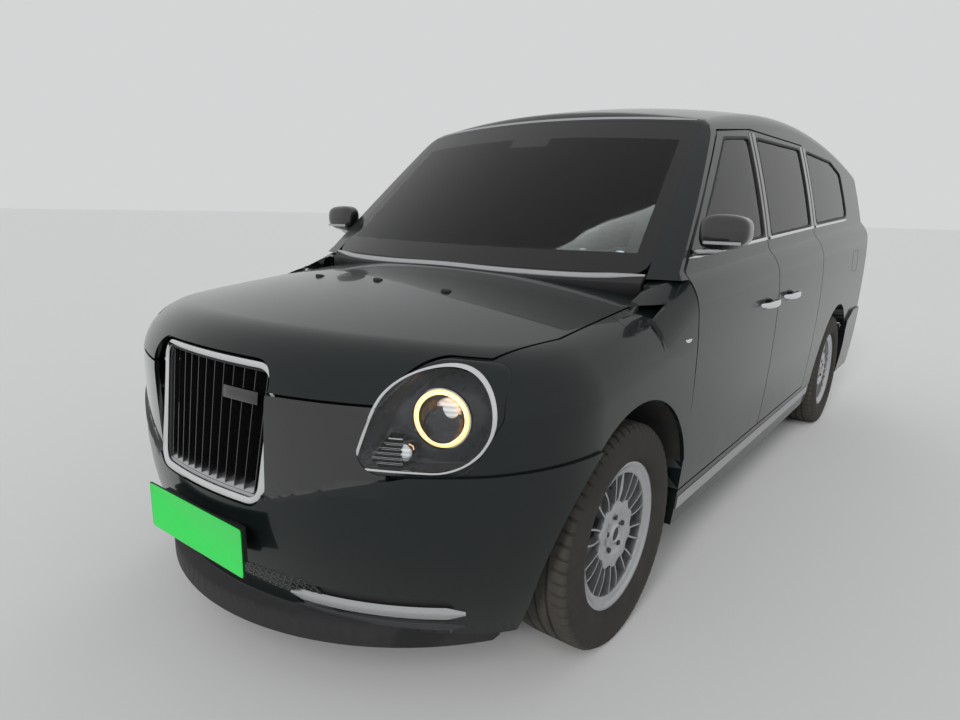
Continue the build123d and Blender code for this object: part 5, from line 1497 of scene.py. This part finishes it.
def addHandles():
    k = handles
    for body in ("front_door", "rear_door"):
        u, z = k[body]
        cup = ellipse(u, z, *k["cupHalf"], 32)
        for side, tag in sides:
            bm = bmesh.new()
            fresh = addPebble(bm, 8, 5.0)
            for v in fresh:
                s = v.co.x
                bow = 0.010 * (1 - s * s)
                foot = 0.020 * max(0.0, abs(s) - 0.80) / 0.20
                v.co = Vector((0, s * k["long"] / 2, v.co.z * k["tall"] / 2 * (1 - 0.2 * abs(s)))) + Vector(
                    (v.co.y * 0.007 + bow + k["away"] - foot, 0, 0))
            spots = np.array([[castFrom["sideX"] * side, at(u) + v.co.y, z + v.co.z] for v in fresh])
            base = dropOnto(spots, cabinForm, (-side, 0, 0), 0.0)
            for v, place in zip(fresh, base):
                v.co = Vector(place) + Vector((side * v.co.x, 0, 0))
            addPiece("handle_" + body + tag, bm, "chrome", body + tag, sharp=60)
            ringOnSkin("handle_cup_" + body + tag, cup, cabinForm, 0.010, 0.0018, "paint", "side",
                       body + tag, count=60, side=side)


addHandles()


# Mirrors: a gloss pod with the glass behind, on an arm with a satin strip

mirror = dict(middle=(0.957, 1.400, 1.272), half=(0.083, 0.052, 0.064), power=3.2, glassBack=0.034,
              armFrom=(0.845, 1.395, 1.203), armLong=0.110)


def addMirrors():
    k = mirror
    for side, tag in sides:
        mx, mu, mz = k["middle"]
        hx, hu, hz = k["half"]
        bm = bmesh.new()
        for v in addPebble(bm, 14, k["power"]):
            outer = (v.co.x + 1) / 2
            tall = hz * (1.0 - 0.14 * outer ** 2) * (0.93 + 0.07 * (1 - outer))
            back = v.co.y
            deep = hu * (back if back > 0 else back * (0.95 + 0.05 * (1 - abs(v.co.z))))
            v.co = vec(side * (mx + v.co.x * hx), mu + deep - 0.010 * outer * (back < 0) + 0.012 * outer,
                       mz + v.co.z * tall + 0.006 * outer)
        bmesh.ops.bisect_plane(bm, geom=bm.verts[:] + bm.edges[:] + bm.faces[:],
                               plane_co=(0, at(mu + k["glassBack"]), 0), plane_no=(0, 1, 0), clear_outer=True)
        rimEdges = [e for e in bm.edges if e.is_boundary]
        back = bmesh.ops.holes_fill(bm, edges=rimEdges, sides=0)["faces"]
        rim = [v.co.copy() for v in back[0].verts]
        centre = sum(rim, Vector()) / len(rim)
        for share, deep in ((0.90, 0.001), (0.88, 0.007)):
            bmesh.ops.inset_individual(bm, faces=back, thickness=0.0, depth=0.0)
            for v, place in zip(back[0].verts, rim):
                v.co = centre + (place - centre) * share - Vector((0, deep, 0))
        back[0].material_index = 1
        addPiece("mirror_pod" + tag, bm, ["glossBlack", "reflector"], "front_door" + tag,
                 ("mirror" + tag,), 35)
        ax, au, az = k["armFrom"]
        bm = bmesh.new()
        for v in addPebble(bm, 8, 4.0):
            t = (v.co.x + 1) / 2
            v.co = vec(side * (ax + k["armLong"] * t), au + v.co.y * 0.026 + 0.004 * t,
                       az + v.co.z * 0.012 + 0.016 * t * t)
        addPiece("mirror_arm" + tag, bm, "satin", "front_door" + tag, sharp=50)
        bm = bmesh.new()
        rule = addGrid(bm, 24, 4)
        for v, (s, t) in rule.items():
            a = -0.9 + 1.8 * s
            v.co = vec(side * (mx + 0.004 + (hx - 0.002) * math.sin(a) * 0.98),
                       mu - (hu + 0.0015) * math.cos(a) ** 0.35 + 0.002,
                       mz - hz * 0.50 + (t - 0.5) * 0.010)
        bmesh.ops.recalc_face_normals(bm, faces=bm.faces)
        bmesh.ops.solidify(bm, geom=bm.faces, thickness=0.002)
        addPiece("mirror_strip" + tag, bm, "satin", "front_door" + tag, sharp=50)


addMirrors()

# A painted fillet over the step where the wing rises to the windscreen's foot
cowlCorner = dict(inner=0.8035, outer=0.884, front=0.900, step=1.040, margin=0.003)


def addCowlCorners():
    k = cowlCorner
    for side, tag in sides:
        wing = bpy.data.objects["wing" + tag + "_skin"].data
        tree = BVHTree.FromPolygons([v.co for v in wing.vertices], [p.vertices for p in wing.polygons])

        def heightAt(x, u):
            return tree.ray_cast(Vector((side * x, at(u), 1.4)), Vector((0, 0, -1)))[0].z

        bm = bmesh.new()
        for v, (s, t) in addGrid(bm, 30, 24).items():
            x = k["inner"] + (k["outer"] - k["inner"]) * s
            low, high = k["step"] - k["margin"], k["step"] + k["margin"]
            u = k["front"] + (high - k["front"]) * t
            rise = max(0.0, heightAt(x, high) - heightAt(x, low))
            v.co = Vector((side * x, at(u), heightAt(x, min(u, low)) + rise * t * t * (3 - 2 * t) + 0.0006))
        bmesh.ops.recalc_face_normals(bm, faces=bm.faces)
        if sum(f.normal.z for f in bm.faces) < 0:
            bmesh.ops.reverse_faces(bm, faces=bm.faces)
        bmesh.ops.solidify(bm, geom=bm.faces, thickness=2 * mm)
        addPiece("cowl_corner" + tag, bm, "paint", "body", sharp=50)


addCowlCorners()

# Washer jets on the bonnet
jets = dict(x=(-0.312, 0.0, 0.312), u=0.723, above=1.4, half=(0.017, 0.014, 0.008))
for i, x in enumerate(jets["x"]):
    bm = bmesh.new()
    top = dropOnto(np.array([[x, at(jets["u"]), jets["above"]]]), noseForm, (0, 0, -1))[0]
    hx, hu, hz = jets["half"]
    for v in addPebble(bm, 5, 3.0):
        v.co = Vector(top) + Vector((v.co.x * hx, v.co.y * hu, v.co.z * hz * (1 - 0.35 * v.co.y)))
    addPiece("washer_jet_" + str(i + 1), bm, "softBlack", "bonnet", sharp=50)

# The edge of the charging flap on the left rear quarter, as a fine dark line
flap = roundedOutline([(4.120, 0.985), (4.300, 0.985), (4.300, 1.120), (4.120, 1.120)], 0.018, 6)
ringOnSkin("filler_flap_edge", flap, cabinForm, 0.0035, 0.0006, "softBlack", "side", sink=0.001,
           count=90)
print("sides ready")


# Seats: crowned pads with bolsters and sewn channels

def addPad(name, middle, half, material, slot, body="body", power=4.5, tilt=0.0, pivot=None, channels=(), seams=(),
           bolster=0.0, bolsterAt=0.68, replaces=(), cuts=26, along=1, face=2, sag=0.006, fill=0.7):
    # along: axis the channels follow one another on. face: axis the pad looks along. seams: places across x
    bm = bmesh.new()
    across = 0
    for v in addPebble(bm, cuts, power):
        unitX, unitA, unitF = v.co[across], v.co[along], v.co[face]
        front = max(0.0, unitF)
        rise = 0.0
        for place in channels:
            rise -= 0.012 * math.exp(-((unitA - place) * half[along] / 0.008) ** 2) * (abs(unitX) < bolsterAt)
        for place in seams:
            rise -= 0.012 * math.exp(-((abs(unitX) - place) * half[across] / 0.008) ** 2)
        if bolster:
            share = max(0.0, (abs(unitX) - bolsterAt) / (1 - bolsterAt))
            rise += bolster * math.sin(math.pi * min(1.0, share * 1.25)) ** 0.8
        rise += sag * (1 - unitX ** 2) * (1 - unitA ** 2)
        place = Vector([v.co[i] * half[i] for i in range(3)])
        place[face] += rise * front
        v.co = place
    bmesh.ops.transform(bm, matrix=Matrix.Translation(middle), verts=bm.verts)
    if tilt:
        turn = Matrix.Translation(pivot) @ Matrix.Rotation(tilt, 4, "X") @ Matrix.Translation(-pivot)
        bmesh.ops.transform(bm, matrix=turn, verts=bm.verts)
    piece = addPiece(name, bm, material, body, replaces, sharp=60)


seat = dict(x=0.400, pivot=(2.520, 0.640), tilt=math.radians(-12))


def addDriverSeat():
    x = seat["x"]
    pivot = vec(0, *seat["pivot"])
    common = dict(material="darkSeat", slot="dark_seat")
    addPad("driver_cushion", vec(x, 2.285, 0.632), (0.245, 0.240, 0.066), channels=(-0.5, -0.1, 0.3), seams=(0.62,),
           bolster=0.016, bolsterAt=0.62, replaces=("driver_seat",), **common)
    addPad("driver_backrest", vec(x, 2.530, 0.955), (0.240, 0.056, 0.300), along=2, face=1, tilt=seat["tilt"],
           pivot=pivot, channels=(-0.6, -0.3, 0.0, 0.3), seams=(0.62,), **common)
    addPad("driver_headrest", vec(x, 2.525, 1.385), (0.125, 0.042, 0.090), power=3.2, along=2, face=1,
           tilt=seat["tilt"], pivot=pivot, cuts=16, **common)
    turn = Matrix.Translation(pivot) @ Matrix.Rotation(seat["tilt"], 4, "X") @ Matrix.Translation(-pivot)
    bm = bmesh.new()
    for dx in (-0.055, 0.055):
        spun(bm, [(0.0055, 0.0), (0.0055, 0.110)], turn @ Matrix.Translation(vec(x + dx, 2.525, 1.220)), 16)
    addPiece("headrest_stems", bm, "chrome", "body", sharp=50)
    bm = bmesh.new()
    for v in addPebble(bm, 10, 8.0):
        v.co = vec(x + v.co.x * 0.195 * (1 - 0.06 * v.co.z), 2.295 + v.co.y * 0.180, 0.436 + v.co.z * 0.142)
    addPiece("seat_pedestal", bm, "softBlack", "body", sharp=40)
    for side in (-1, 1):
        bm = bmesh.new()
        for v in addBar(bm, 1, 2):
            v.co = vec(x + side * 0.120 + v.co.x * 0.036, 2.295 + v.co.y * 0.44, 0.3005 + v.co.z * 0.014)
        addPiece("seat_rail_" + ("outer" if side > 0 else "inner"), bm, "steel", "body", sharp=30)


def addRearSeats():
    common = dict(material="tanSeat", slot="tan_seat")
    pivot = vec(0, 4.360, 0.640)
    turn = math.radians(-10)
    addPad("bench_cushion", vec(0, 4.110, 0.596), (0.595, 0.245, 0.092), power=7.0, channels=(-0.55, -0.1, 0.35),
           seams=(0.333,), replaces=("rear_seats",), cuts=34, bolsterAt=1.2, **common)
    addPad("bench_backrest", vec(0, 4.362, 0.940), (0.595, 0.056, 0.325), power=7.0, along=2, face=1, tilt=turn,
           pivot=pivot, channels=(-0.5, -0.15, 0.2, 0.55), seams=(0.333,), cuts=34, bolsterAt=1.2, **common)
    for i, x in enumerate((-0.400, 0.0, 0.400)):
        addPad("bench_headrest_" + str(i + 1), vec(x, 4.440, 1.330), (0.115, 0.038, 0.086), power=3.2, along=2,
               face=1, cuts=14, **common)
    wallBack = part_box("partition")[1].y
    for i, x in enumerate((-0.430, 0.0, 0.430)):
        addPad("tip_up_seat_" + str(i + 1), Vector((x, wallBack + 0.042, 0.785)), (0.185, 0.040, 0.220), power=6.0,
               along=2, face=1, channels=(-0.4, 0.1, 0.6), seams=(0.7,), cuts=18, bolsterAt=1.2, **common)


addDriverSeat()
addRearSeats()


# Dashboard with its instrument hood, vents and middle panel; steering wheel; partition; roof fittings

def lineNode(name, rules, materials, sharp=30):
    # A welded copy of a CAD node whose faces take their material by a rule of place and direction
    bm = bmesh.new()
    bm.from_mesh(nodes[name].data)
    bmesh.ops.remove_doubles(bm, verts=bm.verts, dist=2e-5)
    bm.normal_update()
    for face in bm.faces:
        spot = face.calc_center_median()
        face.material_index = rules(spot.x, spot.y + carLength / 2, spot.z, face.normal)
    addPiece(name + "_lined", bm, materials, "body", (name,), sharp, tidy=False)


def frameRule(x, u, z, normal):
    if u < 1.37 and z > 1.02:
        return 2
    if normal.z > 0.5 and z > 0.285 and u > 1.34:
        return 1
    return 3 if z > 0.31 and abs(x) > 0.55 and u > 1.36 else 0


lineNode("body_frame", frameRule, ["underbody", "carpet", "softBlack", "trimDark"])
smoothNode("dashboard", "dash")
smoothNode("partition", "trimDark")

dash = dict(hood=(0.400, 1.560, 1.135), hoodHalf=(0.185, 0.095, 0.045), dialAcross=0.085, marks=11,
            display=(0.0, 1.695, 1.115), displayHalf=(0.125, 0.012, 0.078), displayLean=math.radians(-18),
            stack=(1.690, 0.700), stackHalf=(0.145, 0.085, 0.235), ventX=(-0.640, -0.180, 0.180, 0.660),
            ventPlace=(1.700, 0.985), ventHalf=(0.055, 0.030), louvres=4)


def addDashDetails():
    k = dash
    x, u, z = k["hood"]
    hx, hu, hz = k["hoodHalf"]
    bm = bmesh.new()
    for v in addPebble(bm, 14, 3.4):
        v.co = vec(x + v.co.x * hx, u + v.co.y * hu, z + v.co.z * hz - 0.010 * v.co.y)
    bmesh.ops.bisect_plane(bm, geom=bm.verts[:] + bm.edges[:] + bm.faces[:], plane_co=vec(0, u + hu * 0.72, z),
                           plane_no=(0, 1, 0.25), clear_outer=True)
    back = bmesh.ops.holes_fill(bm, edges=[e for e in bm.edges if e.is_boundary], sides=0)["faces"]
    bmesh.ops.inset_region(bm, faces=back, thickness=0.008, depth=0.0)
    bmesh.ops.inset_region(bm, faces=back, thickness=0.002, depth=-0.030)
    back[0].material_index = 1
    addPiece("instrument_hood", bm, ["dash", "glossBlack"], "body", sharp=40)
    bm = bmesh.new()
    for dx in (-k["dialAcross"], k["dialAcross"]):
        dial = facingPlace(vec(x + dx, u + 0.040, z - 0.004), (0, 1.0, 0.25))
        spun(bm, [(0.052, 0.0), (0.052, 0.004), (0.048, 0.006), (0.045, 0.001), (0.001, 0.001)], dial, 48)
        for i in range(k["marks"]):
            angle = math.radians(-130 + 26 * i)
            for v in addBar(bm, 1, 1, (0.0022, 0.010, 0.001)):
                if not v.tag:
                    turned = Matrix.Rotation(-angle, 4, "Z") @ Matrix.Translation((0, 0.036, 0.002))
                    v.co = dial @ (turned @ v.co)
                    v.tag = True
    addPiece("instrument_dials", bm, "dialGlow", "body", sharp=40)
    bm = bmesh.new()
    tilt = Matrix.Translation(vec(*k["display"])) @ Matrix.Rotation(k["displayLean"], 4, "X")
    for v in addPebble(bm, 8, 9.0):
        v.co = tilt @ Vector(c * half for c, half in zip(v.co, k["displayHalf"]))
    addPiece("centre_display", bm, "glossBlack", "body", sharp=40)
    bm = bmesh.new()
    (u, z), (hx, hu, hz) = k["stack"], k["stackHalf"]
    for v in addPebble(bm, 8, 7.0):
        v.co = vec(v.co.x * hx, u + v.co.y * hu - 0.03 * v.co.z, z + v.co.z * hz)
    addPiece("centre_stack", bm, "softBlack", "body", sharp=40)
    w, h = k["ventHalf"]
    shape = roundedOutline([(-w, -h), (w, -h), (w, h), (-w, h)], 0.012, 4)
    for i, x in enumerate(k["ventX"]):
        bm = bmesh.new()
        place = facingPlace(vec(x, *k["ventPlace"]), (0, 1, 0.10))
        loops = [[place @ Vector((p.x * g, p.y * g, d)) for p in shape] for g, d in
                 ((1.0, -0.010), (1.0, 0.004), (0.93, 0.006), (0.87, 0.002), (0.87, -0.012))]
        loopStack(bm, loops, capStart=True, capEnd=True)
        for row in range(k["louvres"]):
            for v in addBar(bm, 0, 2, (0.094, 0.0025, 0.012)):
                v.co = place @ (Vector((0, -0.0195 + row * 0.013, -0.003)) + v.co)
        addPiece("air_vent_" + str(i + 1), bm, "softBlack", "body", sharp=30)


addDashDetails()

wheel = dict(centre=(1.880, 1.015), tilt=math.radians(26), radius=0.173, grip=0.0145, padHalf=(0.078, 0.066, 0.024),
             padBack=0.026, spokeFrom=0.060)


def addSteeringWheel():
    k = wheel
    centre = vec(nodeMiddle("steering_wheel").x, *k["centre"])
    place = facingPlace(centre, (0, math.cos(k["tilt"]), math.sin(k["tilt"])))
    grip = k["grip"]
    bm = bmesh.new()
    turns = np.linspace(0, math.tau, 17)
    spun(bm, [(k["radius"] + grip * math.cos(t), grip * math.sin(t)) for t in turns], place, 96)
    addPiece("steering_rim", bm, "wheelLeather", "steering_wheel", ("steering_wheel",), 60)
    bm = bmesh.new()
    wide, high, thick = k["padHalf"]
    for v in addPebble(bm, 12, 3.6):
        v.co = place @ Vector((v.co.x * wide, v.co.y * high, v.co.z * thick - k["padBack"]))
    addPiece("steering_pad", bm, "softBlack", "steering_wheel", sharp=50)
    bm = bmesh.new()
    for angle in (0.0, math.pi, -math.pi / 2):
        turn = Matrix.Rotation(angle, 4, "Z")
        for v in addBar(bm, 0, 6):
            t = v.co.x + 0.5
            wide = 0.036 + 0.010 * t * t
            v.co = place @ (turn @ Vector((k["spokeFrom"] + t * (k["radius"] - 0.064), v.co.y * wide,
                                           -0.022 + 0.020 * t * t + v.co.z * 0.013)))
    roundEdges(bm, 0.003)
    addPiece("steering_spokes", bm, "satin", "steering_wheel", sharp=40)
    bm = bmesh.new()
    spun(bm, [(0.001, -0.149), (0.024, -0.149), (0.024, -0.045), (0.060, -0.040), (0.066, -0.030), (0.001, -0.026)],
         place, 40)
    addPiece("steering_hub", bm, "softBlack", "steering_wheel", sharp=40)


addSteeringWheel()

pane = dict(corners=[(-0.560, 1.090), (0.560, 1.090), (0.520, 1.620), (-0.520, 1.620)], corner=0.050, half=0.003)


def addPartitionPane():
    bm = bmesh.new()
    shape = roundedOutline(pane["corners"], pane["corner"], 6)
    middle = nodeMiddle("partition").y
    loops = [[Vector((p.x, middle + d, p.y)) for p in shape] for d in (-pane["half"], pane["half"])]
    loopStack(bm, loops, capStart=True, capEnd=True)
    addPiece("partition_pane", bm, "darkGlass", "body", sharp=30)


insideMirror = dict(place=(1.900, 1.612), half=(0.120, 0.022, 0.034), turn=0.006, stemFrom=(1.790, 1.672),
                    stem=(0.110, -0.055), stemHalf=(0.016, 0.014))


def addInsideMirror():
    k = insideMirror
    (u, z), (hx, hu, hz) = k["place"], k["half"]
    bm = bmesh.new()
    for v in addPebble(bm, 12, 3.4):
        v.co = vec(v.co.x * hx, u + v.co.y * hu + k["turn"] * v.co.x, z + v.co.z * hz)
    addPiece("inside_mirror", bm, "glossBlack", "body", sharp=50)
    (u, z), (back, down), (wide, tall) = k["stemFrom"], k["stem"], k["stemHalf"]
    bm = bmesh.new()
    for v in addPebble(bm, 6, 3.0):
        t = (v.co.y + 1) / 2
        v.co = vec(v.co.x * wide, u + back * t, z + down * t + v.co.z * tall)
    addPiece("inside_mirror_stem", bm, "softBlack", "body", sharp=50)


addPartitionPane()
addInsideMirror()
print("cabin ready")


# Carried-over nodes: running gear, liners and the heavy blocks below

underLooks = dict(wheelhouses="liner", front_suspension="steel", rear_axle="steel", power_unit="cast",
                  battery_pack="battery", knuckle_left="cast", knuckle_right="cast", number_plates="softBlack",
                  bumper_blades="softBlack")
for node, material in underLooks.items():
    data = nodes[node].data
    data.materials.clear()
    data.materials.append(finishes[material])


# across: where each face of the two plates stands along the axle, with the air gap between the middle ones
brake = dict(inner=0.062, outer=0.150, gapRadius=0.142, across=(-0.044, -0.034, -0.028, -0.018))


def addBrakeDiscs():
    # The discs that show between the spokes
    r, edge, gap = brake["inner"], brake["outer"], brake["gapRadius"]
    back, backGap, frontGap, front = brake["across"]
    section = [(r, back), (edge, back), (edge, backGap), (gap, backGap), (gap, frontGap), (edge, frontGap),
               (edge, front), (r, front), (r, back)]
    for end in ("front", "rear"):
        for side, tag in sides:
            place = end + tag
            middle = nodeMiddle("tyre_" + place)
            bm = bmesh.new()
            spun(bm, section, wheelPlace(middle, side), 96)
            addPiece("brake_disc_" + place, bm, "disc", "wheel_" + place, sharp=30)


addBrakeDiscs()


batteryCase = dict(ribs=9, ribWide=0.036, ribTall=0.008, bolts=16, margin=0.06)


def addBottomDetails():
    # Ribs and bolts under the battery case
    k = batteryCase
    low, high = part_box("battery_pack")
    bm = bmesh.new()
    for i in range(k["ribs"]):
        y = low.y + (high.y - low.y) * (i + 0.5) / k["ribs"]
        for v in addBar(bm, 0, 6, (high.x - low.x - 0.10, k["ribWide"], k["ribTall"])):
            v.co += Vector((0, y, low.z - 0.003))
    roundEdges(bm, 0.003)
    addPiece("battery_ribs", bm, "battery", "body", sharp=30)
    bm = bmesh.new()
    for side in (-1, 1):
        for i in range(k["bolts"]):
            y = low.y + k["margin"] + (high.y - low.y - 2 * k["margin"]) * i / (k["bolts"] - 1)
            spun(bm, [(0.011, 0.0), (0.011, 0.006), (0.009, 0.008), (0.001, 0.0085)],
                 facingPlace(Vector((side * (high.x - 0.030), y, low.z + 0.001)), (0, 0.001, -1)), 6)
    addPiece("battery_bolts", bm, "steel", "body", sharp=30)


addBottomDetails()
print("underside ready")


# Floor and light

stageLook = dict(floor=rgb(0.62, 0.62, 0.61), floorSize=240.0, far=rgb(0.66, 0.665, 0.67), sky=rgb(0.95, 0.97, 1.0),
                 skyStrength=0.90, skyCurve=[(0.0, 0.15), (1.0, 0.45), (0.30, 0.75), (0.45, 1.0), (0.70, 0.60)])


def addStage():
    k = stageLook
    bm = bmesh.new()
    bmesh.ops.create_grid(bm, x_segments=2, y_segments=2, size=k["floorSize"] / 2)
    mesh = meshOf("floor", bm, ())
    mesh.materials.append(Finish("floor_finish", colour=k["floor"], rough=0.8).material)
    floor = addObject("floor", mesh)
    # A studio sky, bright above and dim at the horizon, that the camera itself sees as one pale tone
    world = bpy.data.worlds.new("studio")
    bpy.context.scene.world = world
    world.use_nodes = True
    studio = NodeTree(world.node_tree)
    place = studio.add("TexCoord").outputs["Generated"]
    height = studio.add("SeparateXYZ", {}, {0: place}).outputs[2]
    sky = studio.add("FloatCurve", {}, {"Value": height})
    curve = sky.mapping.curves[0]
    for i, (height, brightness) in enumerate(k["skyCurve"]):
        point = curve.points[i] if i < 2 else curve.points.new(height, brightness)
        point.location = (height, brightness)
    sky.mapping.update()
    background = studio.tree.nodes["Background"]
    studio.feedSocket(background.inputs[0], k["sky"])
    studio.feedSocket(background.inputs[1], Value(studio, sky.outputs[0]) * k["skyStrength"])
    plain = studio.add("Background", {}, {0: k["far"]})
    rays = studio.add("LightPath").outputs
    seen, mirrored, passed = (Value(studio, rays[ray]) for ray in
                              ("Is Camera Ray", "Is Glossy Ray", "Is Transmission Ray"))
    both = studio.add("MixShader", {}, {0: seen.most(mirrored).most(passed), 1: background.outputs[0],
                                        2: plain.outputs[0]})
    studio.feedSocket(studio.tree.nodes["World Output"].inputs[0], both.outputs[0])


def addSun(name, place, strength, spread):
    # Soft sunlight from one side, left out of reflections
    data = bpy.data.lights.new(name, "SUN")
    data.energy, data.angle = strength, math.radians(spread)
    sun = addObject(name, data)
    sun.visible_glossy = False
    sun.rotation_euler = (-Vector(place)).to_track_quat("-Z", "Y").to_euler()


addStage()
addSun("key", (3.0, -5.0, 5.0), 0.8, 30)
addSun("low_front", (0.9, -6.0, 2.6), 1.4, 12)
addSun("back", (-3.0, 5.0, 4.0), 0.3, 30)
bpy.context.scene.view_settings.view_transform = "Standard"
print("stage ready")
